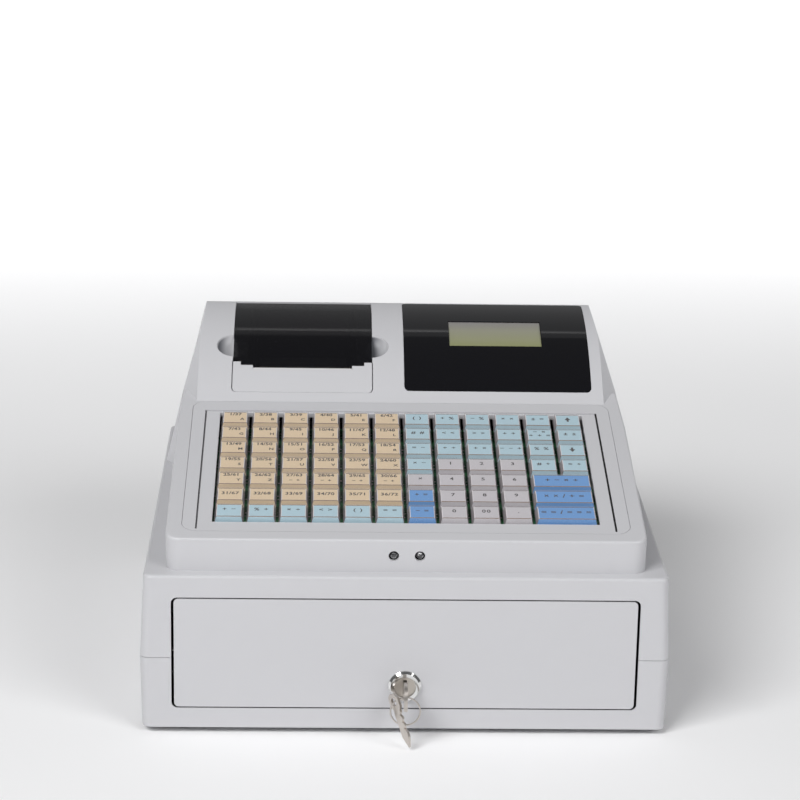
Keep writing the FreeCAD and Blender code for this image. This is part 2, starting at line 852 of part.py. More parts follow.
def key_deck():
    """The inner panel: a raised table inside the frame, a rim tucked under it, and posts for the board."""
    half = deck_width / 2
    back = console_length - deck_back_margin
    table = block(-half, half, deck_front, back, -frame_thickness - deck_rim_thickness, -deck_drop)
    rim = block(-half - deck_rim, half + deck_rim, deck_front + deck_rim, back + deck_rim,
                -frame_thickness - deck_rim_thickness, -frame_thickness)
    reach = key_columns / 2 * key_pitch + deck_hole_gap / 2
    low = keys_front_margin - deck_hole_gap / 2
    high = keys_front_margin + key_rows * key_pitch + deck_hole_gap / 2
    hole = block(-reach, reach, low, high, -2 * overrun, overrun)
    plate = joined(table, rim).cut(hole)
    posts = []
    for side in (-1, 1):
        for v in (low + deck_post_width, (low + high) / 2, high - deck_post_width):
            posts.append(post(deck_post_width, side * (reach + deck_post_width / 2), v, board_top, -frame_thickness))
    return on_console(joined(plate, *posts))


def key_centre(row, column):
    """Centre of a key's cell: rows count from the back, columns from the left."""
    u = (column - (key_columns + 1) / 2) * key_pitch
    v = keys_front_margin + (key_rows - row + 0.5) * key_pitch
    return u, v


def key_solid(cells):
    """A cap with sloping skirts, its top drawn forward, hollow below where its switch enters."""
    extra = (cells - 1) * key_pitch
    base_x = (key_base_width + extra) / 2
    base_y = key_base_depth / 2
    top_x = (key_top_width + extra) / 2
    top_y = key_top_depth / 2
    cap = Part.makeWedge(-base_x, -key_skirt_drop, -base_y, key_top_shift - top_y, -top_x,
                         base_x, key_rise, base_y, key_top_shift + top_y, top_x)
    cap.rotate(V(0, 0, 0), V(1, 0, 0), 90)
    x = key_hollow_width / 2 + extra / 2
    y = key_hollow_depth / 2
    return cap.cut(block(-x, x, -y, y, -key_skirt_drop - overrun, key_rise - key_roof))


def key_places():
    """Every key: node name, row, column of its middle, and its width in cells."""
    places = []
    for row in range(1, 7):
        places += [("preset_keys", row, column, 1) for column in range(1, 7)]
    places += [("front_function_keys", 7, column, 1) for column in range(1, 7)]
    for row in range(1, 4):
        places += [("function_keys", row, column, 1) for column in range(7, 13)]
    places += [("function_keys", 4, column, 1) for column in (7, 11, 12)]
    places += [("quantity_key", 5, 7, 1), ("blue_key_back", 6, 7, 1), ("blue_key_front", 7, 7, 1)]
    for i in range(9):
        places.append(("number_key_" + str(i + 1), 4 + i // 3, 8 + i % 3, 1))
    places += [("number_key_0", 7, 8, 1), ("number_key_00", 7, 9, 1), ("number_key_point", 7, 10, 1)]
    places += [("wide_key_" + str(i + 1), 5 + i, 11.5, 2) for i in range(3)]
    return places


def save_keys():
    caps = {1: key_solid(1), 2: key_solid(2)}
    groups = {}
    for name, row, column, cells in key_places():
        u, v = key_centre(row, column)
        groups.setdefault(name, []).append(on_console(moved(caps[cells], u, v, 0)))
    for name, solids in groups.items():
        save(name, *solids)


def key_switches():
    """One square switch housing under each key, standing up into its hollow."""
    x = key_hollow_width / 2 - switch_gap
    y = key_hollow_depth / 2 - switch_gap
    body = block(-x, x, -y, y, board_top, switch_top)
    switches = []
    for name, row, column, cells in key_places():
        u, v = key_centre(row, column)
        switches.append(on_console(moved(body, u, v, 0)))
    return switches


def keyboard_board():
    reach = key_columns / 2 * key_pitch + board_margin + deck_post_width / 2
    low = keys_front_margin - board_margin
    high = keys_front_margin + key_rows * key_pitch + board_margin
    return on_console(block(-reach, reach, low, high, board_top - board_thickness, board_top))


def indicator_lamps():
    """Two domed lamps set back in their holes, on one small carrier board."""
    z = z_shoulder + console_rise / 2
    front = console_setback + lamp_recess
    solids = []
    for side in (-1, 1):
        x = side * lamp_spacing / 2
        dome = Part.makeSphere(lamp_radius, V(x, front + lamp_radius, z)).common(
            block(x - lamp_radius, x + lamp_radius, front, front + lamp_radius, z - lamp_radius, z + lamp_radius))
        barrel = rod_y(lamp_radius, x, z, front + lamp_radius, front + lamp_length)
        solids.append(joined(dome, barrel))
    board = block(-lamp_board_width / 2, lamp_board_width / 2, front + lamp_length,
                  front + lamp_length + board_thickness, z - lamp_board_height / 2, z + lamp_board_height / 2)
    return solids + [board]


def display_windows():
    """The curved window over the display, open at the screen, and the customer's window in the back."""
    window = roof_sheet(rectangle(window_left, window_right, window_front_y, window_rear_y), 0, window_thickness,
                        window_corner)
    opening = on_screen(screen_glass(window_gap, -overrun, 2 * overrun))
    customer = prism("y", rectangle(customer_left, customer_right, customer_bottom, customer_top),
                     head_rear - window_thickness, head_rear, window_corner)
    return window.cut(opening), customer


def screen_ends():
    """Front and rear edge of the display module, on a plane under the curved window."""
    depth = window_thickness + screen_gap
    return [V(screen_left, y, roof_height(y, depth))
            for y in (screen_front_y - screen_border, screen_rear_y + screen_border)]


def on_screen(shape):
    """From the display's own axes (across, up the slope, off the glass) to the model's."""
    front, rear = screen_ends()
    copy = shape.copy()
    copy.rotate(V(0, 0, 0), V(1, 0, 0), math.degrees(math.atan2(rear.z - front.z, rear.y - front.y)))
    copy.translate(front)
    return copy


def screen_glass(grow, low, high):
    """The display's glass, grown all round, between two heights off the module's plane."""
    front, rear = screen_ends()
    length = (rear - front).Length
    return block(-grow, screen_right - screen_left + grow, screen_border - grow, length - screen_border + grow,
                 low, high)


def lcd_module():
    """Flat display module below the curved window: raised glass, metal border and board."""
    front, rear = screen_ends()
    length = (rear - front).Length
    width = screen_right - screen_left
    border = screen_border
    glass = screen_glass(0, -screen_thickness / 2, screen_rise)
    bezel = block(-border, width + border, 0, length, -screen_thickness, -screen_gap).cut(
        screen_glass(0, -screen_thickness / 2, overrun))
    outer = border + screen_board_border
    board = block(-outer, width + outer, -screen_board_border, length + screen_board_border,
                  -screen_thickness - board_thickness, -screen_thickness)
    return [on_screen(solid) for solid in (glass, bezel, board)]


def hinge_centre():
    return hinge_y, roof_height(hinge_y) - hinge_drop


def printer_cover():
    """Smoked cover that follows the head's roll, with two hinge lugs and stub pins at its back."""
    sheet = roof_sheet(printer_outline(cover_corner_y, cover_half_width, cover_rear_y, 0, cover_slot_y),
                       0, cover_thickness)
    y, z = hinge_centre()
    lugs = []
    for side in (-1, 1):
        inner = bucket_half_width + bucket_wall + hinge_lug_gap
        a = printer_offset + side * inner
        b = printer_offset + side * (inner + hinge_lug_width)
        x0, x1 = min(a, b), max(a, b)
        eye = rod_x(hinge_lug_radius, x0, x1, y, z)
        web = block(x0, x1, y - hinge_lug_radius, y + hinge_lug_radius, z, roof_height(y) - cover_thickness / 2)
        pin_end = printer_offset + side * bucket_half_width
        pin = rod_x(hinge_pin_radius, min(pin_end, b), max(pin_end, b), y, z)
        lugs += [eye, web, pin]
    return joined(sheet, *lugs)


def bucket_section(inset):
    """Side view of the paper bucket: a round trough with upright walls."""
    radius = bucket_radius - inset
    y = bucket_centre_y
    z = bucket_centre_z
    top = head_top + overrun
    edges = [Part.LineSegment(V(0, y + radius, z), V(0, y + radius, top)).toShape(),
             Part.LineSegment(V(0, y + radius, top), V(0, y - radius, top)).toShape(),
             Part.LineSegment(V(0, y - radius, top), V(0, y - radius, z)).toShape(),
             Part.Arc(V(0, y - radius, z), V(0, y, z - radius), V(0, y + radius, z)).toShape()]
    return Part.Face(Part.Wire(edges))


def printer_body():
    """Paper bucket with cheeks that carry the platen, plus the heated head bar and the stepper motor."""
    x0 = printer_offset - bucket_half_width - bucket_wall
    width = 2 * (bucket_half_width + bucket_wall)
    outer = moved(bucket_section(-bucket_wall), x0, 0, 0).extrude(V(width, 0, 0))
    inner = moved(bucket_section(0), x0 + bucket_wall, 0, 0).extrude(V(width - 2 * bucket_wall, 0, 0))
    my, mz = motor_centre()
    step_y = plate_slot_y + cover_gap + tear_thickness + tear_side_gap
    step_z = tear_top() - tear_height - tear_side_gap
    cheek = prism("x", [(bucket_front_y, step_z), (bucket_front_y, mz - motor_radius),
                        (bucket_centre_y, mz - motor_radius), (bucket_centre_y, head_top),
                        (step_y, head_top), (step_y, step_z)], x0, x0 + bucket_wall)
    depth = cover_thickness + bucket_top_gap
    roof = roof_face(depth, -case_width).extrude(V(2 * case_width, 0, 0))
    hy, hz = hinge_centre()
    ear_height = hinge_pin_radius + hinge_ear_wall
    ear = block(x0, x0 + bucket_wall, hy - ear_height, hy + ear_height, bucket_centre_z, hz + ear_height)
    tub = outer.cut(inner)
    mouth = platen_y + platen_radius + bucket_wall
    slot = block(x0 + bucket_wall, x0 + width - bucket_wall, bucket_front_y, mouth + bucket_wall,
                 platen_z - 2 * platen_radius, head_top + overrun)
    side = width - bucket_wall
    body = joined(tub, cheek, moved(cheek, side, 0, 0), ear, moved(ear, side, 0, 0)).common(roof).cut(slot)
    holes = [rod_x(platen_shaft_radius + pin_clearance, x0 - overrun, x0 + width + overrun, platen_y, platen_z),
             rod_x(hinge_pin_radius + pin_clearance, x0 - overrun, x0 + width + overrun, hy, hz)]
    body = without(body, *holes)
    bar_y = platen_y - platen_radius - head_bar_gap
    bar = block(x0 + bucket_wall, x0 + width - bucket_wall, bar_y - head_bar_depth, bar_y,
                platen_z - head_bar_height, platen_z + platen_radius / 2)
    motor_x = x0 + width - bucket_wall
    motor_seat = rod_x(motor_shaft_radius + gear_play, x0, x0 + width + overrun, my, mz)
    motor = rod_x(motor_radius, motor_x - motor_length, motor_x, my, mz)
    clear = rod_x(motor_radius + gear_play, motor_x - motor_length - gear_play, motor_x, my, mz)
    body = body.cut(motor_seat).cut(clear.common(block(x0, x0 + width, 0, case_depth, 0, head_top)))
    return [body, bar, motor]


def motor_centre():
    distance = gear_module * (platen_teeth + motor_teeth) / 2 + gear_play
    angle = math.radians(motor_angle)
    return platen_y - distance * math.cos(angle), platen_z - distance * math.sin(angle)


def gear(teeth, x0, x1, y, z, phase):
    """A spur gear: straight-flanked teeth round a rim."""
    pitch = gear_module * teeth / 2
    tip = pitch + tooth_addendum_share * gear_module
    root = pitch - tooth_dedendum_share * gear_module
    step = 2 * math.pi / teeth
    points = []
    for i in range(teeth):
        for radius, share in zip((root, tip, tip, root), tooth_flank_shares):
            angle = (i + phase + share) * step
            points.append((y + radius * math.cos(angle), z + radius * math.sin(angle)))
    return prism("x", points, x0, x1)


def platen_roller():
    """Rubber-covered platen on its shaft, with the driven gear pressed on one end."""
    body = rod_x(platen_radius, printer_offset - platen_half_width, printer_offset + platen_half_width,
                 platen_y, platen_z)
    tail = bucket_half_width + bucket_wall
    shaft = rod_x(platen_shaft_radius, printer_offset - tail, printer_offset + tail + platen_shaft_tail,
                  platen_y, platen_z)
    x0 = printer_offset + tail + gear_gap
    wheel = gear(platen_teeth, x0, x0 + gear_width, platen_y, platen_z, 0)
    return joined(body, shaft, wheel)


def motor_gear():
    y, z = motor_centre()
    x0 = printer_offset + bucket_half_width + bucket_wall + gear_gap
    angle = math.atan2(platen_z - z, platen_y - y)
    step = 2 * math.pi / motor_teeth
    mate = 2 * math.pi / platen_teeth
    offset = (math.pi + angle) / mate
    phase = angle / step + 0.5 - (offset - math.floor(offset))
    wheel = gear(motor_teeth, x0, x0 + gear_width, y, z, phase)
    shaft = rod_x(motor_shaft_radius, x0 - gear_gap - bucket_wall, x0 + gear_width, y, z)
    return joined(wheel, shaft)


def paper_roll():
    z = bucket_centre_z - bucket_radius + paper_gap + paper_radius
    x0 = printer_offset - paper_half_width
    x1 = printer_offset + paper_half_width
    roll = rod_x(paper_radius, x0, x1, bucket_centre_y, z)
    return roll.cut(rod_x(paper_core_radius, x0 - overrun, x1 + overrun, bucket_centre_y, z))


def printer_plate():
    """Front plate of the printer, notched for the paper slot."""
    x = printer_offset
    half = cover_half_width
    gap = plate_gap + cover_gap
    outline = [(x - half, plate_front_y), (x + half, plate_front_y), (x + half, cover_corner_y - gap),
               (x + cover_step_half + gap, cover_corner_y - gap), (x + cover_step_half + gap, cover_step_y - gap),
               (x + cover_slot_half, cover_step_y - gap), (x + cover_slot_half, plate_slot_y),
               (x - cover_slot_half, plate_slot_y), (x - cover_slot_half, cover_step_y - gap),
               (x - cover_step_half - gap, cover_step_y - gap), (x - cover_step_half - gap, cover_corner_y - gap),
               (x - half, cover_corner_y - gap)]
    radii = [plate_corner, plate_corner] + [0] * 10
    return roof_sheet(outline, 0, plate_thickness, radii)


def tear_top():
    return roof_height(plate_slot_y + cover_gap, tear_recess)


def tear_bar():
    """Toothed steel strip standing behind the plate's slot edge."""
    y = plate_slot_y + cover_gap
    top = tear_top()
    half = cover_slot_half - tear_side_gap
    pitch = 2 * half / tear_teeth
    points = [(printer_offset - half, top - tear_height), (printer_offset + half, top - tear_height)]
    points.append((printer_offset + half, top - tear_tooth_height))
    for i in range(tear_teeth):
        x = printer_offset + half - i * pitch
        points.append((x - pitch / 2, top))
        points.append((x - pitch, top - tear_tooth_height))
    return prism("y", points, y, y + tear_thickness)


def drawer_front():
    """Front panel with a flange round its back, ribs, and bosses that reach the drawer box."""
    half = mouth_width / 2 - front_side_gap
    low = mouth_bottom + front_rise_gap
    high = mouth_top - front_rise_gap
    corner = mouth_corner - front_rise_gap
    panel = prism("y", rectangle(-half, half, low, high), 0, front_thickness, corner)
    rim = prism("y", rectangle(-half, half, low, high), 0, front_flange_depth, corner).cut(
        prism("y", rectangle(-half + front_flange, half - front_flange, low + front_flange, high - front_flange),
              front_thickness, front_flange_depth + overrun, corner / 2))
    ribs = []
    bosses = []
    middle = (low + high) / 2
    for side in (-1, 1):
        for share in front_rib_places_share:
            x = side * half * share
            ribs.append(block(x - front_rib / 2, x + front_rib / 2, 0, front_flange_depth, low, high))
        for up in (-1, 1):
            bosses.append(rod_y(front_boss_radius, side * front_boss_x, middle + up * front_boss_spread / 2,
                                0, box_setback))
    hole = rod_y(lock_body_radius + lock_hole_gap, 0, lock_z, -overrun, front_thickness + overrun)
    return joined(panel, rim, *(ribs + bosses)).cut(hole)


def drawer_box():
    """Open box with outward runners and roller axles, and the latch strike, a plate of its own on the back wall."""
    half = box_width / 2
    tub = block(-half, half, box_setback, box_rear, box_bottom, box_bottom + box_height).cut(
        block(-half + box_wall, half - box_wall, box_setback + box_wall, box_rear - box_wall,
              box_bottom + box_wall, box_bottom + box_height + overrun))
    extras = []
    for side in (-1, 1):
        a = side * (half - box_wall / 2)
        b = side * (half + runner_width)
        extras.append(block(min(a, b), max(a, b), box_setback, box_rear, runner_bottom,
                            runner_bottom + runner_thickness))
        c = side * (half + rail_gap + roller_width + pin_clearance)
        extras.append(rod_x(axle_radius, min(a, c), max(a, c), roller_y, roller_z))
    z = box_bottom + box_height - strike_drop
    x0 = latch_x - strike_width / 2
    x1 = latch_x + strike_width / 2
    y1 = box_rear + strike_length
    strike = prism("x", [(box_rear, z), (y1, z), (y1, z + strike_sheet + strike_rise),
                         (y1 - strike_lip, z + strike_sheet + strike_rise), (y1 - strike_lip, z + strike_sheet),
                         (box_rear, z + strike_sheet)], x0, x1)
    return Part.makeCompound([joined(tub, *extras), strike])


def tray_bounds():
    half = box_width / 2 - box_wall - tray_gap
    y0 = box_setback + box_wall + tray_gap
    y1 = box_rear - box_wall - tray_gap
    z0 = box_bottom + box_wall
    return half, y0, y1, z0, z0 + tray_height


def clip_pivot():
    half, y0, y1, z0, z1 = tray_bounds()
    return y1 - clip_pivot_inset, z1 - clip_pivot_drop


def cash_tray():
    """Moulded tray: a row of scooped coin cups in front, bill bays behind, and pins for the bill clips."""
    half, y0, y1, z0, z1 = tray_bounds()
    outer = block(-half, half, y0, y1, z0, z1)
    split = y0 + tray_wall + cup_depth
    inner = 2 * (half - tray_wall)
    cuts = []
    cup = (inner - (cup_count - 1) * tray_wall) / cup_count
    for i in range(cup_count):
        x = -half + tray_wall + i * (cup + tray_wall)
        section = [(y0 + tray_wall, z0 + tray_wall), (split, z0 + tray_wall), (split, z1 + overrun),
                   (y0 + tray_wall, z1 + overrun)]
        cuts.append(prism("x", section, x, x + cup, [scoop_radius, scoop_radius, 0, 0]))
    bay = (inner - (bay_count - 1) * tray_wall) / bay_count
    for i in range(bay_count):
        x = -half + tray_wall + i * (bay + tray_wall)
        cuts.append(block(x, x + bay, split + tray_wall, y1 - tray_wall, z0 + tray_wall, z1 + overrun))
    tray = without(outer, *cuts)
    y, z = clip_pivot()
    ears = []
    for i in range(bay_count):
        x = clip_x(i)
        span = clip_width / 2 + clip_ear_gap
        for side in (-1, 1):
            a = x + side * span
            b = x + side * (span + clip_ear_width)
            ears.append(block(min(a, b), max(a, b), y - clip_eye_radius, y1 - tray_wall / 2,
                              z - clip_eye_radius, z + clip_eye_radius))
        ears.append(rod_x(clip_pin_radius, x - span - clip_ear_width / 2, x + span + clip_ear_width / 2, y, z))
    return joined(tray, *ears)


def clip_x(index):
    half = tray_bounds()[0]
    inner = 2 * (half - tray_wall)
    bay = (inner - (bay_count - 1) * tray_wall) / bay_count
    return -half + tray_wall + index * (bay + tray_wall) + bay / 2


def bill_clip(index):
    """Spring arm that holds down bills: an eye on the tray's pin, a bent arm and a cross bar."""
    y, z = clip_pivot()
    x = clip_x(index)
    floor = tray_bounds()[3] + tray_wall + clip_tip_gap + clip_sheet / 2
    x0 = x - clip_width / 2
    x1 = x + clip_width / 2
    path = [(y - clip_eye_radius / 2, z - clip_eye_radius / 2), (y - clip_reach / 4, z - clip_eye_radius),
            (y - clip_reach, floor + clip_sheet), (y - clip_reach - clip_tip_length, floor + 2 * clip_sheet)]
    arm = prism("x", ribbon(path, clip_sheet), x0, x1)
    bar_y = y - clip_reach
    bar = block(x - clip_bar_width / 2, x + clip_bar_width / 2, bar_y - clip_sheet, bar_y + 2 * clip_sheet,
                floor, floor + 2 * clip_sheet)
    eye = rod_x(clip_eye_radius, x0, x1, y, z)
    bore = rod_x(clip_pin_radius + pin_clearance, x0 - overrun, x1 + overrun, y, z)
    return joined(arm, bar, eye).cut(bore)


def drawer_rails():
    """A channel on each side for the drawer's rear roller, with a raised pad under the drawer's runner."""
    inner = box_width / 2 + rail_gap
    outer = inner + rail_depth
    z0 = rail_bottom
    z1 = rail_top
    s = rail_sheet
    section = [(inner, z0), (outer, z0), (outer, z1), (inner, z1), (inner, z1 - s), (outer - s, z1 - s),
               (outer - s, z0 + s), (inner, z0 + s)]
    rail = prism("y", section, rail_front, case_depth - rail_rear_margin)
    pad = block(inner, inner + runner_width - rail_gap, rail_front, rail_front + rail_pad_length, z1,
                z1 + rail_pad_height)
    right = joined(rail, pad)
    return mirrored(right), right


def drawer_rollers():
    x0 = box_width / 2 + rail_gap
    x1 = x0 + roller_width
    wheel = rod_x(roller_radius, x0, x1, roller_y, roller_z).cut(
        rod_x(axle_radius + pin_clearance, x0 - overrun, x1 + overrun, roller_y, roller_z))
    return mirrored(wheel), wheel


def lock_housing():
    """Lock barrel with a bevelled bezel in front, and the nut that clamps it behind the panel."""
    r = lock_bezel_radius
    c = lock_bezel_chamfer
    d = lock_bezel_depth
    b = plug_radius + plug_play
    points = [(b, -d), (r - c, -d), (r, c - d), (r, 0), (lock_body_radius, 0), (lock_body_radius, lock_body_length),
              (b, lock_body_length)]
    face = Part.Face(Part.makePolygon([V(x, y, lock_z) for x, y in points + points[:1]]))
    barrel = face.revolve(V(0, 0, lock_z), V(0, 1, 0), 360)
    sides = [(lock_nut_radius * math.cos(math.radians(60 * i)), lock_z + lock_nut_radius * math.sin(math.radians(60 * i)))
             for i in range(6)]
    nut = prism("y", sides, front_thickness, front_thickness + lock_nut_thickness).cut(
        rod_y(lock_body_radius + plug_play, 0, lock_z, 0, lock_body_length))
    return barrel, nut


def lock_plug():
    front = plug_recess - lock_bezel_depth
    back = lock_body_length
    body = rod_y(plug_radius, 0, lock_z, front, back)
    tail = rod_y(plug_tail_radius, 0, lock_z, back, back + plug_tail_length)
    keyway = block(-keyway_width / 2, keyway_width / 2, front - overrun, front + keyway_depth,
                   lock_z - keyway_height / 2, lock_z + keyway_height / 2)
    return joined(body, tail).cut(keyway)


def lock_cam():
    """Flat arm on the plug's tail, pointing aside when the drawer is free."""
    y0 = lock_body_length + cam_gap
    hub = rod_y(plug_tail_radius + cam_thickness, 0, lock_z, y0, y0 + cam_thickness)
    w = cam_half_width
    arm = prism("y", [(0, lock_z - w), (cam_length - w, lock_z - w), (cam_length, lock_z - w / 2),
                      (cam_length, lock_z + w / 2), (cam_length - w, lock_z + w), (0, lock_z + w)],
                y0, y0 + cam_thickness)
    return joined(hub, arm).cut(rod_y(plug_tail_radius, 0, lock_z, y0 - overrun, y0 + overrun))


def lock_key():
    """Key in the lock: toothed blade, short neck and a round bow with a hole."""
    front = plug_recess - lock_bezel_depth
    h = blade_height / 2
    t = blade_thickness / 2
    points = [(bow_y, lock_z + h), (front + blade_length, lock_z + h)]
    pitch = blade_length / (blade_teeth + 1)
    for i in range(blade_teeth):
        y = front + blade_length - i * pitch
        points.append((y, lock_z - h + blade_tooth))
        points.append((y - pitch / 2, lock_z - h))
    points.append((bow_y, lock_z - h))
    blade = prism("x", points, -t, t)
    bow = rod_x(bow_radius, -t, t, bow_y, lock_z)
    hole = rod_x(bow_hole_radius, -bow_radius, bow_radius, bow_y, lock_z + bow_hole_rise)
    return joined(blade, bow).cut(hole)


def ring_centre():
    top = lock_z + bow_hole_rise - bow_hole_radius + ring_wire + ring_contact_gap
    return V(0, bow_y, top - ring_radius)


def key_ring():
    """Ring of drawn wire with narrow flats along it."""
    centre = ring_centre()
    section = []
    for i in range(ring_wire_sides + 1):
        angle = 2 * math.pi * i / ring_wire_sides
        section.append(centre + V(ring_radius + ring_wire * math.cos(angle), ring_wire * math.sin(angle), 0))
    return Part.Face(Part.makePolygon(section)).revolve(centre, V(0, 1, 0), 360)


def spare_pivot():
    """Where the spare key hangs on the ring's wire."""
    centre = ring_centre()
    angle = math.radians(spare_angle)
    return centre + V(-math.sin(angle), 0, -math.cos(angle)) * ring_radius


def spare_key():
    """Second key, hanging from the ring, pointed and notched, with a small bow."""
    half = spare_blade_width / 2
    bow = spare_bow_width / 2
    top = bow
    low = top - spare_length
    neck = top - spare_bow_length
    points = [(-bow, top - spare_hole_radius), (-bow, neck + half / 2), (-half, neck), (-half, low + 2 * half),
              (0, low), (half, low + 2 * half)]
    notch = half / 2
    run = neck - low - 2 * half
    width = run * spare_notch_run_share
    for share in spare_notch_places_share:
        start = low + 2 * half + run * share
        points += [(half, start), (half - notch, start + width / 2), (half, start + width)]
    points += [(half, neck), (bow, neck + half / 2), (bow, top - spare_hole_radius), (bow / 2, top), (-bow / 2, top)]
    plate = prism("y", points, -spare_thickness / 2, spare_thickness / 2)
    plate = plate.cut(rod_y(spare_hole_radius, 0, 0, -overrun, overrun))
    plate.rotate(V(0, 0, 0), V(0, 1, 0), -spare_swing)
    plate.rotate(V(0, 0, 0), V(0, 0, 1), -spare_twist)
    plate.rotate(V(0, 0, 0), V(0, 1, 0), -spare_lean)
    plate.translate(spare_pivot())
    return plate


def equipment_shelf():
    """Sheet tray over the drawer bay that carries the electronics, on tabs under the upper case's bosses."""
    half = shelf_half_width
    z0 = shelf_z
    y0 = rail_front
    y1 = case_depth - shelf_rear_margin
    sheet = block(-half, half, y0, y1, z0, z0 + shelf_sheet)
    lip = block(-half, half, y0, y0 + shelf_sheet, z0, z0 + shelf_lip)
    tabs = []
    half_tab = boss_width / 2
    reach = case_width / 2 - boss_inset + half_tab
    for share in shelf_tab_places_share:
        y = case_depth * share
        tabs.append(block(-reach, reach, y - half_tab, y + half_tab, z0, z0 + shelf_sheet))
    return joined(sheet, lip, *tabs)


def latch_pivot():
    return latch_pivot_y, shelf_z - latch_pivot_drop


def latch_solenoid():
    """Latch unit under the shelf: a bracket with two ears and a pin, and the coil beside it."""
    y, z = latch_pivot()
    inner = latch_plate / 2 + latch_ear_gap
    outer = inner + latch_ear
    top = shelf_z
    front = y - latch_arm
    base = block(latch_x - outer, latch_x + outer + solenoid_width, front, case_depth - 2 * wall - latch_base,
                 top - latch_base, top)
    ears = []
    for side in (-1, 1):
        a = latch_x + side * inner
        b = latch_x + side * outer
        ears.append(block(min(a, b), max(a, b), y - latch_eye_radius, y + latch_eye_radius,
                          z - latch_eye_radius, top - latch_base / 2))
    pin = rod_x(hinge_pin_radius, latch_x - outer, latch_x + outer, y, z)
    coil_x = latch_x + outer
    coil_y = case_depth - 2 * wall - latch_base - solenoid_length
    coil = block(coil_x, coil_x + solenoid_width, coil_y, coil_y + solenoid_length, top - latch_base - solenoid_height,
                 top - latch_base / 2)
    plunger = rod_y(latch_eye_radius, coil_x + solenoid_width / 2, top - latch_base - solenoid_height / 2,
                    coil_y - latch_eye_radius, coil_y + latch_eye_radius)
    return joined(base, *ears, pin, coil, plunger)


def latch_hook():
    """Hook over the drawer's strike, drawn lifted, so that the drawer is free."""
    y, z = latch_pivot()
    x0 = latch_x - latch_plate / 2
    x1 = latch_x + latch_plate / 2
    nose = y - latch_arm - latch_nose / 2
    thick = latch_eye_radius / 2
    arm = prism("x", [(y, z + thick), (nose, z + thick), (nose, z - latch_nose_drop), (nose + latch_nose, z - latch_nose_drop),
                      (nose + latch_nose, z - thick), (y, z - thick)], x0, x1)
    eye = rod_x(latch_eye_radius, x0, x1, y, z)
    return joined(arm, eye).cut(rod_x(hinge_pin_radius + pin_clearance, x0 - overrun, x1 + overrun, y, z))


def kick_spring():
    """Bent leaf on the back wall that pushes the drawer out when the latch lets go."""
    back = case_depth - wall - spring_sheet / 2
    touch = box_rear + spring_gap + spring_sheet / 2
    z0 = z_floor + wall
    path = [(back, z0), (back, z0 + spring_foot), (touch, spring_contact_height),
            (touch + spring_tail / 2, spring_contact_height + spring_tail)]
    return prism("x", ribbon(path, spring_sheet), spring_x - spring_width / 2, spring_x + spring_width / 2)


def main_board():
    """Board on standoffs over the shelf, with its larger parts."""
    x0 = board_x - board_width / 2
    x1 = board_x + board_width / 2
    y0 = board_front_y
    y1 = board_front_y + board_depth
    top = shelf_z + shelf_sheet
    z = top + standoff_height
    plate = block(x0, x1, y0, y1, z, z + board_thickness)
    legs = [post(standoff_width, x, y, top, z + board_thickness / 2)
            for x in (x0 + standoff_width, x1 - standoff_width)
            for y in (y0 + standoff_width, y1 - standoff_width)]
    lid = z + board_thickness
    parts = []
    for places, size, tall in ((chip_places_share, chip_size_share, chip_height),
                               (socket_places_share, socket_size_share, socket_height)):
        for across, back in places:
            x = x0 + across * board_width
            y = y0 + back * board_depth
            w = size[0] * board_width / 2
            d = size[1] * board_depth / 2
            parts.append(block(x - w, x + w, y - d, y + d, lid - board_thickness / 2, lid + tall))
    across, back = buzzer_place_share
    parts.append(rod_z(buzzer_radius, x0 + across * board_width, y0 + back * board_depth, lid - board_thickness / 2,
                       lid + buzzer_height))
    return joined(plate, *(legs + parts))


def power_supply():
    x0 = supply_x - supply_width / 2
    z0 = shelf_z + shelf_sheet
    case = block(x0, x0 + supply_width, supply_front_y, supply_front_y + supply_depth, z0, z0 + supply_height)
    slots = []
    reach = supply_width * supply_slot_width_share / 2
    for i in range(supply_slot_count):
        y = supply_front_y + (i + 1) / (supply_slot_count + 1) * supply_depth
        slots.append(block(supply_x - reach, supply_x + reach, y - vent_width / 2, y + vent_width / 2,
                           z0 + supply_height - vent_width, z0 + supply_height + overrun))
    return without(case, *slots)


def power_inlet():
    """Mains inlet in the back wall: flange, hollow shell and three flat pins."""
    w = inlet_width / 2
    h = inlet_height / 2
    y1 = head_rear
    flange = block(inlet_x - w - inlet_flange, inlet_x + w + inlet_flange, y1, y1 + inlet_flange_thickness,
                   inlet_z - h - inlet_flange, inlet_z + h + inlet_flange)
    shell = block(inlet_x - w + pin_clearance, inlet_x + w - pin_clearance, y1 - inlet_depth, y1 + inlet_flange_thickness,
                  inlet_z - h + pin_clearance, inlet_z + h - pin_clearance)
    hollow = prism("y", rectangle(inlet_x - w + inlet_wall, inlet_x + w - inlet_wall, inlet_z - h + inlet_wall,
                                  inlet_z + h - inlet_wall), y1 - inlet_depth + inlet_wall, y1 + overrun,
                   [0, 0, inlet_wall * 2, inlet_wall * 2])
    pins = []
    for i in (-1, 0, 1):
        x = inlet_x + i * inlet_pin_spacing
        z = inlet_z + (inlet_pin if i == 0 else -inlet_pin)
        pins.append(block(x - inlet_pin / 2, x + inlet_pin / 2, y1 - inlet_depth, y1 - inlet_wall,
                          z - inlet_pin, z + inlet_pin))
    return joined(joined(flange, shell).cut(hollow), *pins)


def foot_places():
    x = case_width / 2 - foot_inset
    return [(side * x, y) for side in (-1, 1) for y in (foot_inset, case_depth - foot_inset)]


def feet():
    solids = []
    for x, y in foot_places():
        solids.append(rod_z(foot_radius, x, y, 0, foot_height + foot_boss))
    return solids


